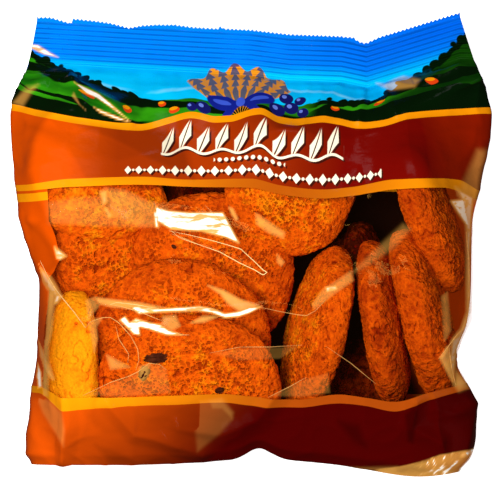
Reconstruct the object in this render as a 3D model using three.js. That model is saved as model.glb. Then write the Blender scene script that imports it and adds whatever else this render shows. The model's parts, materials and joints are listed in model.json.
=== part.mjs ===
// A side-gusseted film bag of oatmeal raisin cookies, lying on its back with its front up.
// Millimetres, +Z up. +Y runs up the bag to its crimped top seal, +X to the right of its front.
// The origin is under the middle of the bag, on the surface that it lies on. The bag is one closed
// solid: its film drawn over the cookies on the front, flat where it lies on its back, pinched to a thin
// crimped seal at the top and closed by a flat panel at the bottom.

import * as THREE from 'three';

// ---------------------------------------------------------------- driving dimensions

const SEAL_HEIGHT = 18.4; // the crimped band at the top
const CRIMPS = 9; // ridges across the band
const CRIMP_DEPTH = 0.35; // how far a ridge stands out from the middle of the seal
const TOP = 92.6; // the top edge, before it waves
const FOOT = TOP - SEAL_HEIGHT; // the foot of the seal
const BASE = -91; // the bottom panel, before it waves
const SHOULDER_Y = 54; // the gussets open out from the foot of the seal down to here
const GUSSET_TUCK = 0.17; // how far the side folds tuck into the seal, as a share of half its width

const LOWER_ROWS = 25; // rows of facets from the bottom panel to the shoulders
const SHOULDER_ROWS = 7; // rows from there to the foot of the seal
const COLUMNS = 40; // facets across the front and the back
const SIDE_STEPS = 4; // facets across each side

const FILM_GAP = 0.7; // from a cookie to the film drawn over it
const STRETCH_PASSES = 120; // how far the film pulls straight from one cookie to the next
const BOTTOM_ROUND = 5; // the film clears the cookies over this height at the bottom panel
const FLOOR = 0; // the surface that the back lies flat on

// Sections of the bag from the bottom panel to the top of the seal. Each gives its height up the bag, its
// left and right edges, the levels of its back and its front, and how square it is: 2 is an ellipse.
const SECTIONS = [
  { y: BASE, left: -91.5, right: 87, back: 9, front: 51, square: 5 },
  { y: -86, left: -93.6, right: 91.5, back: 1, front: 55, square: 4.8 },
  { y: -78, left: -92.9, right: 93.5, back: -3, front: 55, square: 4.6 },
  { y: -64, left: -91.3, right: 92.4, back: -3, front: 52, square: 4.4 },
  { y: -47, left: -89.1, right: 85.6, back: -3, front: 50, square: 4.2 },
  { y: -32, left: -88.4, right: 90.4, back: -3, front: 48.5, square: 4.1 },
  { y: -18, left: -88.2, right: 92, back: -3, front: 47, square: 4 },
  { y: 8, left: -95.3, right: 92.6, back: -3, front: 43, square: 3.4 },
  { y: 26, left: -98.3, right: 96.4, back: -2, front: 40, square: 2.8 },
  { y: SHOULDER_Y, left: -100.9, right: 100.9, back: 0.5, front: 33, square: 2 },
  { y: 64, left: -97.5, right: 97.2, back: 6, front: 26.5, square: 1.9 },
  { y: FOOT, left: -93.4, right: 93.4, back: 13.4, front: 15, square: 2 },
  { y: TOP, left: -89.6, right: 87.4, back: 13.5, front: 14.9, square: 2 },
];

// How far the top edge rises over its mean level, from its left end to its right: it sags in steps to a
// notch, and then climbs in a straight line.
const NOTCH_X = 48.5;
const RIGHT_END = 87.4;
const TOP_EDGE = [[-89.6, 1.8], [0, -3.2], [16, -5.2], [38, -6], [NOTCH_X, -8.2], [RIGHT_END, 3.6]];
const TOP_WAVE_REACH = 44; // how far down the bag the top edge's wave fades out

// The bottom edge's rises and dips over its mean level: an arch with a notch in it, and the right foot.
const FOOT_DROP = 0.4;
const BOTTOM_EDGE = [
  { at: 3, width: 30, rise: 2.4 },
  { at: 3.5, width: 7, rise: 4.6 },
  { at: 70, width: 24, rise: -4.8 },
];
const BOTTOM_WAVE_REACH = 26;

// The seal isn't flat: it curls gently, and its right end lifts past the notch.
const SEAL_CURL = { swing: 2.2, waves: 1.6, rightLift: 5 };

// The cookies that the film is drawn over. Each is an oval with its middle, half-width across, half-length
// along and half-thickness. Those that lie flat lean by a pitch (top forward) and a roll (left forward).
// Those on edge have a lean of their long way from the Y axis and a turn that shows one face a little.
const LYING = [
  { at: [-25.4, -58, 53.5], across: 38.5, along: 30.5, half: 8.5, pitch: 15, roll: 0 }, // lower front
  { at: [-28.8, -37.6, 43], across: 37, along: 33, half: 8.5, pitch: 15, roll: 0 }, // middle front
  { at: [-16.2, -11.8, 35], across: 35, along: 35, half: 8.5, pitch: 15, roll: 2 }, // middle back
  { at: [10.8, 27, 29], across: 32.5, along: 32, half: 8.5, pitch: 12, roll: 0 }, // upper middle
  { at: [-51.2, -0.1, 27], across: 34, along: 32, half: 8.5, pitch: 6, roll: 18 }, // upper left
  { at: [-64.6, 34.5, 31], across: 29, along: 28, half: 8.5, pitch: -2, roll: 5 }, // top left
];
const ON_EDGE = [
  { at: [-78, -53, 35], along: 34, deep: 30.5, half: 10, lean: 1, turn: -15 }, // left
  { at: [27.5, -35.5, 35], along: 36, deep: 33, half: 9, lean: 13.7, turn: -15 }, // right of middle
  { at: [55.4, -32.6, 35], along: 36, deep: 32.5, half: 8.5, lean: -8.5, turn: 5 }, // right
  { at: [70.8, -28.5, 34], along: 36, deep: 31.5, half: 8.5, lean: -13.9, turn: 7 }, // far right
  { at: [74.2, 12, 28], along: 34, deep: 27, half: 8.5, lean: -19.6, turn: 13 }, // upper right
];

// ---------------------------------------------------------------- the bag's outline and sections

const { clamp, lerp, smoothstep, degToRad } = THREE.MathUtils;

// A value of the sections at height y, on a smooth curve through them that never overshoots.
function sectionValue(key, y) {
  const last = SECTIONS.length - 1;
  const i = clamp(SECTIONS.findIndex((section) => section.y >= y) - 1, 0, last - 1);
  const rise = (k) => (SECTIONS[k + 1][key] - SECTIONS[k][key]) / (SECTIONS[k + 1].y - SECTIONS[k].y);
  const slope = (k) => {
    if (k === last) return rise(k - 1);
    if (k === 0 || rise(k - 1) * rise(k) <= 0) return 0;
    return (2 * rise(k - 1) * rise(k)) / (rise(k - 1) + rise(k));
  };
  const span = SECTIONS[i + 1].y - SECTIONS[i].y;
  const s = clamp((y - SECTIONS[i].y) / span, 0, 1);
  const s2 = s * s;
  const s3 = s2 * s;
  return (2 * s3 - 3 * s2 + 1) * SECTIONS[i][key] + (s3 - 2 * s2 + s) * span * slope(i) +
    (3 * s2 - 2 * s3) * SECTIONS[i + 1][key] + (s3 - s2) * span * slope(i + 1);
}

// The rise of the top edge at x, in straight lines between its points.
function topWave(x) {
  const i = clamp(TOP_EDGE.filter(([at]) => at < x).length, 1, TOP_EDGE.length - 1);
  const [fromX, from] = TOP_EDGE[i - 1];
  const [toX, to] = TOP_EDGE[i];
  return lerp(from, to, clamp((x - fromX) / (toX - fromX), 0, 1));
}

function bottomWave(x) {
  const rises = BOTTOM_EDGE.map(({ at, width, rise }) => rise * Math.exp(-(((x - at) / width) ** 2)));
  return rises.reduce((sum, rise) => sum + rise, -FOOT_DROP);
}

// The height up the bag of a point, once the edges' waves are added.
function waved(x, y) {
  const top = smoothstep(y, TOP - TOP_WAVE_REACH, FOOT);
  const bottom = 1 - smoothstep(y, BASE, BASE + BOTTOM_WAVE_REACH);
  return y + topWave(x) * top + bottomWave(x) * bottom;
}

function sealCurl(x, y) {
  const share = smoothstep(y, SHOULDER_Y, FOOT);
  const lift = SEAL_CURL.rightLift * smoothstep(x, NOTCH_X, RIGHT_END);
  return share * (SEAL_CURL.swing * Math.sin((x / RIGHT_END) * Math.PI * SEAL_CURL.waves) + lift);
}

// Ridges of the crimped seal, up and down in turn from row to row.
function crimp(y) {
  const up = ((y - FOOT) / SEAL_HEIGHT) * CRIMPS;
  if (up < 0.25) return 0;
  return CRIMP_DEPTH * (Math.abs((up % 1) - 0.5) * 4 - 1);
}

// ---------------------------------------------------------------- the cookies under the film

// The rows turn a point into a unit sphere's space: the cookie is where that vector is shorter than 1.
function ovalRows(long, normal, along, across, half) {
  const side = new THREE.Vector3().crossVectors(normal, long);
  return [
    long.clone().divideScalar(along),
    side.divideScalar(across),
    normal.clone().divideScalar(half),
  ];
}

function lyingCookie({ at, across, along, half, pitch, roll }) {
  const normal = new THREE.Vector3(Math.sin(degToRad(roll)), -Math.sin(degToRad(pitch)), 1).normalize();
  const wide = new THREE.Vector3(1, 0, 0).projectOnPlane(normal).normalize();
  return { at, rows: ovalRows(wide, normal, across, along, half) };
}

function cookieOnEdge({ at, along, deep, half, lean, turn }) {
  const long = new THREE.Vector3(Math.sin(degToRad(lean)), Math.cos(degToRad(lean)), 0);
  const sideways = Math.sign(turn) * Math.cos(degToRad(turn));
  const up = Math.sin(degToRad(Math.abs(turn)));
  const normal = new THREE.Vector3(long.y * sideways, -long.x * sideways, up);
  return { at, rows: ovalRows(long, normal, along, deep, half) };
}

const cookies = [...LYING.map(lyingCookie), ...ON_EDGE.map(cookieOnEdge)];

// The highest level of a cookie over a place of the surface, or nothing where the cookie isn't there.
function cookieTop({ at, rows }, x, y) {
  const dx = x - at[0];
  const dy = y - at[1];
  let a = 0;
  let b = 0;
  let c = -1;
  for (const row of rows) {
    const flat = row.x * dx + row.y * dy;
    a += row.z * row.z;
    b += row.z * flat;
    c += flat * flat;
  }
  const inside = b * b - a * c;
  return inside > 0 ? at[2] + (Math.sqrt(inside) - b) / a : -Infinity;
}

function cookiesTop(x, y) {
  return Math.max(...cookies.map((cookie) => cookieTop(cookie, x, y) + FILM_GAP));
}

// ---------------------------------------------------------------- the solid

// Heights of the rows of facets: wide ones up the body, narrow ones over the shoulders, and two for each
// ridge of the seal.
function rowHeights() {
  const steps = (from, to, count) => Array.from({ length: count }, (_, i) => lerp(from, to, i / count));
  const body = [...steps(BASE, SHOULDER_Y, LOWER_ROWS), ...steps(SHOULDER_Y, FOOT, SHOULDER_ROWS)];
  return [...body, ...steps(FOOT, TOP, CRIMPS * 2), TOP];
}

// How far the edge of a unit section reaches sideways where it is w up: a rounded square turns, by share,
// into one whose sides are tucked in.
function edgeReach(w, square, share) {
  return lerp((1 + w ** square) ** (-1 / square), 1 - GUSSET_TUCK * (1 - w), share);
}

// A point (u, w) of the unit square, at height y, becomes a point of the bag's section there.
function sectionPoint(u, w, y) {
  const left = sectionValue('left', y);
  const right = sectionValue('right', y);
  const back = sectionValue('back', y);
  const front = sectionValue('front', y);
  const square = sectionValue('square', y);
  const reach = (Math.abs(u) ** square + Math.abs(w) ** square) ** (1 / square) || 1;
  const inward = Math.max(Math.abs(u), Math.abs(w)) / reach;
  const round = { x: u * inward, z: w * inward };
  const pinched = { x: u * (1 - GUSSET_TUCK * (1 - Math.abs(w))), z: w };
  const share = smoothstep(y, SHOULDER_Y, FOOT);
  const steps = [...Array(SIDE_STEPS + 1).keys()];
  const widest = Math.max(...steps.map((step) => edgeReach(step / SIDE_STEPS, square, share)));
  const x = (left + right) / 2 + ((right - left) / 2 / widest) * lerp(round.x, pinched.x, share);
  const z = (back + front) / 2 + ((front - back) / 2) * lerp(round.z, pinched.z, share);
  return new THREE.Vector3(x, y, z);
}

// The upper sheet of film goes up the left side, across the front and down the right side.
const SHEET_COLUMNS = COLUMNS + SIDE_STEPS * 2;

function sheetColumn(u, w) {
  if (w === 1) return SIDE_STEPS + Math.round(((u + 1) / 2) * COLUMNS);
  return u < 0 ? Math.round(w * SIDE_STEPS) : SHEET_COLUMNS - Math.round(w * SIDE_STEPS);
}

function sheetPlace(column) {
  const fromEnd = Math.min(column, SHEET_COLUMNS - column) / SIDE_STEPS;
  if (fromEnd < 1) return { u: Math.sign(column - SHEET_COLUMNS / 2), w: fromEnd };
  return { u: ((column - SIDE_STEPS) / COLUMNS) * 2 - 1, w: 1 };
}

// The level of a point midway between its neighbours, where the near ones count for more.
function levelBetween(point, neighbours) {
  let pull = 0;
  let total = 0;
  for (const next of neighbours) {
    const share = 1 / point.distanceTo(next);
    pull += next.z * share;
    total += share;
  }
  return pull / total;
}

// The film is drawn tight: it lies on the cookies and the bag's own form, and is straight between them.
function drawnSheet(heights) {
  const columns = Array.from({ length: SHEET_COLUMNS + 1 }, (_, k) => sheetPlace(k));
  const sheet = heights.map((y) => columns.map(({ u, w }) => sectionPoint(u, w, y)));
  const held = sheet.map((row) => row.map(({ x, y, z }) => {
    const body = smoothstep(y, BASE, BASE + BOTTOM_ROUND) * (1 - smoothstep(y, SHOULDER_Y, FOOT));
    return lerp(z, Math.max(z, cookiesTop(x, waved(x, y))), body);
  }));
  for (let pass = 0; pass < STRETCH_PASSES; pass++) {
    for (let j = 1; j < LOWER_ROWS + SHOULDER_ROWS; j++) {
      for (let k = 1; k < SHEET_COLUMNS; k++) {
        const neighbours = [sheet[j][k - 1], sheet[j][k + 1], sheet[j - 1][k], sheet[j + 1][k]];
        sheet[j][k].z = Math.max(held[j][k], levelBetween(sheet[j][k], neighbours));
      }
    }
  }
  return sheet;
}

function shapeBag() {
  const heights = rowHeights();
  const rows = heights.length - 1;
  const sheet = drawnSheet(heights);
  const geometry = new THREE.BoxGeometry(2, 2, 2, COLUMNS, rows, SIDE_STEPS * 2);
  const place = geometry.attributes.position;
  const corner = new THREE.Vector3();
  for (let i = 0; i < place.count; i++) {
    corner.fromBufferAttribute(place, i);
    const row = Math.round(((corner.y + 1) / 2) * rows);
    const onSheet = corner.z > 0 && Math.max(Math.abs(corner.x), corner.z) > 1 - 1e-6;
    const { x, y, z } = onSheet
      ? sheet[row][sheetColumn(corner.x, corner.z)]
      : sectionPoint(corner.x, corner.z, heights[row]);
    place.setXYZ(i, x, waved(x, y), Math.max(z + sealCurl(x, y) + crimp(y), FLOOR));
  }
  geometry.computeVertexNormals();
  return geometry;
}

const film = new THREE.MeshStandardMaterial({ color: 0xb4480f, roughness: 0.3, metalness: 0 });
const bag = new THREE.Mesh(shapeBag(), film);
bag.name = 'cookie_bag';

const part = new THREE.Group();
part.add(bag);

export default part;
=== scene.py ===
# A sealed film bag of oatmeal raisin cookies: printed bands, a clear window, and the cookies inside.
# Lengths are worked out in millimetres and become metres where a mesh is made.

import json
import math

import bpy
import numpy as np
from bpy.props import FloatProperty, FloatVectorProperty, PointerProperty
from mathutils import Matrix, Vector

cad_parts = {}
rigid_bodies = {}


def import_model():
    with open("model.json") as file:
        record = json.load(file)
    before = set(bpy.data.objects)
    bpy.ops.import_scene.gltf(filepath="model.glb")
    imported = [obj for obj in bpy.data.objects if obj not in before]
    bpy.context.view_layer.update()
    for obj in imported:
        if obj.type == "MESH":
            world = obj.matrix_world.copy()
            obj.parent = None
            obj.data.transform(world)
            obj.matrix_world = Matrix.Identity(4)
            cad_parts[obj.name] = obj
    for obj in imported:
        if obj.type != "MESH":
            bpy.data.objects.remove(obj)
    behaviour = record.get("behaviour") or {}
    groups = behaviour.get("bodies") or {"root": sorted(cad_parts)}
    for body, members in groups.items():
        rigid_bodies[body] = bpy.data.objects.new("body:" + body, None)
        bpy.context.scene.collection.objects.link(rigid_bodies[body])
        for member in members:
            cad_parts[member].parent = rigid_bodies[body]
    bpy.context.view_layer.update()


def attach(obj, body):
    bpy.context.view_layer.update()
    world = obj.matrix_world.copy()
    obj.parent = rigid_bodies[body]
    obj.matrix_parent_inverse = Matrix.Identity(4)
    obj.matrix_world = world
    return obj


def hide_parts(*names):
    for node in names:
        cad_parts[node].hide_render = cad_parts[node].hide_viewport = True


bl_info = {
    "name": "Cookie Bag",
    "version": (1, 0, 0),
    "blender": (4, 5, 0),
    "location": "View3D > Sidebar > Cookie Bag",
    "description": "Builds a film bag of oatmeal raisin cookies over its solid model",
    "category": "Object",
}

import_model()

MM = 0.001
BAG = "cookie_bag"
BODY = "root"

# ---------------------------------------------------------------- the bag's form

SEAL_HEIGHT = 18.4  # the crimped band at the top
CRIMPS = 9
CRIMP_DEPTH = 0.55  # how far they push the film to either side
TOP = 92.6
FOOT = TOP - SEAL_HEIGHT  # the foot of the seal
BASE = -91.0  # the bottom panel
SHOULDER_Y = 54.0  # where the bag starts to close to the seal
GUSSET_TUCK = 0.17  # how far the sides are tucked in, as a share of half the width
TOP_WAVE_REACH = 44.0  # how far down the top edge's waves are felt
BOTTOM_WAVE_REACH = 26.0  # and how far up the bottom edge's
BOTTOM_ROUND = 5.0  # over this height the film leaves the bottom edge for the cookies

# Sections up the bag: height, left and right edges, levels of back and front, and squareness.
SECTIONS = {
    "y": (BASE, -86, -78, -64, -47, -32, -18, 8, 26, SHOULDER_Y, 64, FOOT, TOP),
    "left": (-91.5, -93.6, -92.9, -91.3, -89.1, -88.4, -88.2, -95.3, -98.3, -100.9, -97.5, -93.4, -89.6),
    "right": (87, 91.5, 93.5, 92.4, 85.6, 90.4, 92, 92.6, 96.4, 100.9, 97.2, 93.4, 87.4),
    "back": (9, 1, -3, -3, -3, -3, -3, -3, -2, 0.5, 6, 13.4, 13.5),
    "front": (51, 55, 55, 52, 50, 48.5, 47, 43, 40, 33, 26.5, 15, 14.9),
    "square": (5, 4.8, 4.6, 4.4, 4.2, 4.1, 4, 3.4, 2.8, 2, 1.9, 2, 2),
}
TOP_NOTCH = 48.5  # where the top edge dips, and folds fan out from
RIGHT_END = 87.4
# How far the top edge rises over its mean level, and the bottom edge's rises: middle, width, height.
TOP_EDGE = ((-89.6, 0, 16, 38, TOP_NOTCH, RIGHT_END), (1.8, -3.2, -5.2, -6, -8.2, 3.6))
BOTTOM_EDGE = ((3, 30, 2.4), (3.5, 7, 4.6), (70, 24, -4.8))
FOOT_DROP = 0.4
SIDE_STEPS = 4  # places where a side's reach is measured
FLOOR_GAP = 0.3  # from the bag's back to the floor
# The seal curls gently from side to side, and its right end lifts past the notch.
SEAL_SWING, SEAL_WAVES, SEAL_LIFT = 2.2, 1.6, 5
CRIMP_START = 0.25  # of a crimp's pitch, between the seal's foot and its first crimp

# ---------------------------------------------------------------- the cookies

# Cookies that lie flat: middle, half sizes across, along and through, pitch and roll in degrees, and
# how dark each is, partly how well it is baked and partly painted shade, darker to the right and deep
# in the bag: 0 is pale, 0.5 well baked, 1 dark, and 1.5 is painted deep shade.
LYING = {
    "lower_front": ((-25.4, -58, 53.5), (38.5, 30.5, 8.5), 15, 0, 0.55),
    "middle_front": ((-28.8, -37.6, 43), (37, 33, 8.5), 15, 0, 0.57),
    "middle_back": ((-16.2, -11.8, 30.5), (35, 35, 8.5), 8, 2, 0.61),
    "upper_middle": ((16.3, 22.8, 35.2), (27.5, 28, 8.5), 4, 5, 0.48),
    "upper_left": ((-53, -5, 24), (31, 28.5, 8.5), 8, 14, 0.54),
    "upper_near": ((-62, 18, 31.5), (27, 17, 8), -4, 8, 0.42),
    "top_left": ((-64.6, 34.5, 31), (29, 28, 8.5), -2, 5, 0.8),
    "under_front": ((-28, -54, 30), (34, 32, 8.5), 12, 0, 0.9),
    "floor_front": ((-26, -50, 11), (34, 33, 8), 0, 0, 1.1),
    "floor_middle": ((-4, 20, 14), (34, 29, 7.5), 3, 0, 1.5),
    "low_right": ((44, -60, 14), (22, 22, 8), 10, 8, 1.4),
}
# Cookies on edge: middle, half sizes along, deep and through, lean from the Y axis, turn, and how dark,
# by baking and by painted shade, as above.
ON_EDGE = {
    "left": ((-74, -53, 41), (34, 24, 10.6), 1, -12, -0.06),
    "right_of_middle": ((27.5, -35.5, 35), (36, 33, 9), 13.7, -15, 0.52),
    "right": ((55, -32.6, 35), (35, 32.5, 9.6), -8.5, 5, 0.74),
    "far_right": ((71.4, -28.5, 34), (36, 31.5, 11), -13.9, 5, 0.64),
    "upper_right": ((74.4, 12, 31.5), (34, 23, 9.6), -19.6, 12, 0.64),
    "deep_middle": ((37, -13, 17), (19, 16, 8), 20, -20, 1.4),
    "deep_right": ((47, -9, 18), (19, 16, 8), -6, 12, 1.4),
}
FINE, PLAIN = 7, 6  # subdivisions of a cookie that shows well, and of one that hardly shows
PLAIN_COOKIES = ("under_front", "floor_front", "floor_middle", "low_right", "deep_middle", "deep_right",
                 "top_left")
FIRST_SEED = 40  # of the cookies' outlines

# Raisins that show on the cookies: place across and up the bag, half length and width, and turn.
RAISINS = (
    (-39.2, -46.6, 4.4, 2.3, 8), (-44.0, -52.8, 3.0, 1.8, 70), (-12.9, -60.1, 1.8, 1.2, 20),
    (-32.0, -0.8, 1.1, 0.7, -30),
)
RAISIN_BALL = 5  # subdivisions of a raisin

# ---------------------------------------------------------------- the print and its lines

# Edges of the gold stripes: places across the bag, and the low and high edge at each. The top stripe
# has its middle line instead, and half its height.
STRIPE_LOW = (
    (-88.3, -76.7, -54.6, -31.7, -11.7, -0.4, 19.6, 36.3, 46.3, 59.4, 69.4, 89.2),
    (-61.6, -68.3, -66.8, -66.0, -65.1, -66.4, -67.2, -65.5, -66.4, -68.9, -65.5, -60.1),
    (-58.9, -63.0, -63.0, -62.2, -61.6, -62.6, -63.9, -61.8, -63.0, -64.9, -62.2, -57.6),
)
STRIPE_MIDDLE = (
    (-97.3, -74.6, -44.8, -25, -0.4, 12.9, 29.6, 42.9, 59.4, 79.2, 85.8, 94.6),
    (22.4, 24.0, 24.9, 24.0, 23.6, 20.7, 19.0, 20.3, 22.8, 23.6, 22.4, 18.6),
    (24.9, 27.4, 28.2, 27.0, 27.4, 24.5, 22.8, 24.0, 27.0, 27.4, 27.0, 22.8),
)
STRIPE_TOP = (
    (-100.4, -89.2, -71.3, -46.7, -34.8, -25, -15, -8.3, -0.4, 3.8, 11.7, 19.6, 29.6, 36.7, 44.8,
     52.9, 66, 79.2, 97.9),
    (57.4, 54.9, 51.5, 48.8, 51.5, 54.0, 52.1, 52.5, 54.9, 55.5, 51.8, 50.8, 52.1, 51.1, 49.5,
     50.1, 53.5, 54.9, 56.1),
)
STRIPE_TOP_HALF = 1.35

# Rows of the film between the print's lines, and where each line is on the flat print.
PRINT_LINES = (BASE, -90.4, -66.6, -63.0, 22.4, 26.0, 50.5, 53.2, FOOT)
STRIPES = PRINT_LINES[2:4], PRINT_LINES[4:6], PRINT_LINES[6:8]
LOW_STRIPE, MIDDLE_STRIPE, TOP_STRIPE = STRIPES
GOLD_PATCH = (17.6, 21.2, -97)  # at the left end of the middle stripe: low and high edge, right end
PRINT_UNIT = 100  # millimetres of the flat print for each unit of its UV map
FRONT_PRINT, SIDE_PRINT = 93, 34  # how wide half the front and one side are on the flat print
# The clear foot at the lower right: where it starts, how it climbs to the right, and its full height.
FOOT_START, FOOT_SLOPE, FOOT_HEIGHT = 50, 0.29, 8.2
HEM = 0.3  # of clear film along the rest of the bottom edge
BAND_ROWS = (6, 38, 6, 142, 6, 40, 5, 37)
COLUMNS_LEFT, COLUMNS_REST = 28, 372  # of the left side's print, and of all the rest
SIDE_SHARE = 0.24  # of a half of the upper film that goes down a side
SIDE_COLUMN = -0.81  # the column that is drawn to where the left side's print ends
DRAWN_COLUMN = -0.55  # the columns up to this one move with it
# The left side's print ends beside the window: height on the print, and place across the bag.
SIDE_EDGE = ((-63, -42, -35, -23, -17, -7, 2, 9, 22),
             (-85.8, -85.6, -85, -83.8, -83.6, -78.8, -81.2, -83.8, -84.6))
COARSE = 4  # the film is first drawn tight on every fourth row and column
ROUGH_PASSES, FINE_PASSES = 500, 70  # how often it is drawn tight there, and then all over
EDGE_FADE = 7  # rows and columns over which the creases fade out at the film's edges
FILM_GAP = 0.5  # between the cookies and the film
BACK_ROUND = 8  # the back film's creases fade out over this height at both ends

# Creases: height, widths to the left and to the right of the way along it, and its points.
CREASES = (
    (2.6, 10, 2.2, ((-41, 8), (-28, 6.5), (-16, 4.5), (-5, 0.5))),
    (1.3, 7, 2, ((-64, 12), (-52, 9), (-43, 6))),
    (1.0, 2.5, 5, ((-33.9, 4.6), (-3.8, -1.7), (6.5, -11.8), (2.9, -11.5), (-24.6, 1.0))),
    (1.5, 5, 2, ((-65, -23.4), (-49.6, -24.4), (-31.3, -28), (-10.6, -30), (6.5, -27.5), (16.3, -29))),
    (1.1, 4, 1.8, ((-55.7, -32), (-46.9, -37.8), (-36, -35.5), (-28.8, -39))),
    (0.9, 2, 3.5, ((-55.7, -31), (-48.4, -36.8), (-45.6, -43), (-46.9, -50.9), (-51, -54))),
    (0.8, 2.5, 2.5, ((-65, -60.7), (-46.9, -53), (-40.6, -48.8), (-34.4, -50.9))),
    (0.9, 3.5, 2, ((-15.8, -45), (1.3, -44.6), (16.3, -42))),
    (0.9, 2.5, 2.5, ((12, -26.8), (22.4, -29.1), (29.2, -24.3), (35, -17.4), (41.7, -11.7))),
    (0.8, 2.5, 2.5, ((31.5, -42), (44.1, -51), (51.5, -58))),
    (1.0, 3, 3, ((78.3, -46.6), (82.4, -40.3), (88.7, -32.8), (91.3, -30))),
    (1.4, 6, 3, ((-95.8, 12.4), (-90.8, -1.8), (-87.7, -9.7), (-78.3, -21))),
    (1.0, 3, 3, ((-91, 10.7), (-82.5, -0.5), (-78, -12))),
    (1.6, 5, 3, ((-75.4, 68.6), (-69.2, 58.2), (-60, 54), (-50.4, 51.1))),
    (1.2, 3, 4, ((-74.3, 68.8), (-67.5, 64), (-57.9, 58.6), (-49.7, 50.7))),
    (1.2, 3, 3, ((-76.7, 71.9), (-74.6, 62), (-68.8, 56.1))),
    (1.4, 4, 3, ((-99.2, 59.5), (-90, 66.1), (-81, 72))),
    (1.2, 5, 3, ((53, 70.7), (61, 67), (69, 65), (93, 79))),
    (1.0, 3, 3, ((40.4, 73.5), (35, 64), (31, 56))),
    (1.0, 3, 3, ((46.3, 72.8), (47, 62), (44.8, 52))),
    (1.0, 3, 3, ((51.7, 73.6), (57, 66), (60, 55))),
    (2.4, 6, 4, ((-77, -63.5), (-76.5, -75), (-78, -89))),
    (2.2, 6, 5, ((-59, -66), (-48, -78), (-40, -80), (-20, -86))),
    (2.4, 7, 5, ((10, -62), (2, -72), (-12, -78), (-30, -75))),
    (2.2, 6, 6, ((68, -65), (66, -76), (78, -82))),
    (1.0, 5, 4, ((93, -66), (84, -70), (76, -68))),
)
# Sharp fold lines of the clear film, coloured as painted glints: brightness, and points.
FOLD_LINES = (
    (1, ((-33.8, 5.7), (-25.4, 4), (-17.1, 2), (-9.6, -0.1), (-4.2, -1.8), (1.7, -7.2), (5, -10.5),
     (6.7, -11.4), (5, -12.6), (1.7, -10.5), (-4.6, -7.6), (-12.9, -3), (-21.2, -0.1), (-29.6, 2.8),
     (-32.9, 5.7))),
    (0.6, ((-32.9, 4.5), (-27.1, 2.4), (-22.1, 0.3))),
    (0.85, ((-87.9, -6.4), (-85, -12.2), (-81.7, -17.6), (-78.3, -21.8), (-73.3, -27.6), (-68.3, -34.3))),
    (0.62, ((-68.3, -34.3), (-66.2, -31.8), (-61.2, -30.1), (-57.9, -30.1), (-54.6, -32.2),
     (-49.6, -37.6), (-46.7, -43), (-46.2, -47.6), (-47.5, -51.8))),
    (0.4, ((-55.8, -33.5), (-54.6, -38.9), (-50.4, -45.1), (-50.8, -48.9))),
    (0.55, ((-69.2, -62.2), (-57.9, -56.8), (-50.4, -54.3), (-46.2, -52.2), (-42.1, -48.9),
     (-37.9, -49.3), (-34.6, -51.8))),
    (0.9, ((-58.3, -24.7), (-55.4, -23.9), (-48.3, -24.7), (-37.9, -26.4))),
    (0.7, ((-58.3, -24.7), (-53.8, -25.5), (-46.2, -27.6), (-36.7, -31.4))),
    (0.5, ((4.6, -26), (12.1, -27.6), (19.2, -28.9), (22.9, -29.3), (26.7, -27.2), (30.8, -22.6))),
    (0.35, ((-17.1, -44.7), (-4.6, -42.2), (7.9, -42.2), (21.2, -41.4))),
    (0.4, ((7.1, -63), (16.2, -58.5), (22.9, -54.7))),
    (0.35, ((30.8, -41.8), (41.2, -48.9), (51.7, -57.6))),
    (0.6, ((89.6, -33.5), (85, -37.6), (81.7, -41.8), (77.9, -46.8))),
    (0.5, ((81.7, -41.8), (82.9, -50.1), (85, -58.9))),
    (0.45, ((89.6, 5.3), (90.8, -6.4), (90.8, -23))),
    (0.6, ((-40.8, 17.4), (-37.9, 14.9), (-35.8, 13.2))),
    (0.7, ((-11.7, 13.2), (-8.3, 7), (-5, 0.7))),
    (0.7, ((-31.2, -36), (-28.8, -37.2), (-25.4, -37.2))),
    (0.35, ((-19.2, 16.5), (-14.6, 12), (-8.8, 5.3))),
)
FOLD_RADIUS = 0.2
FOLD_STEP = 0.8  # length of a piece of a fold line
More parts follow.
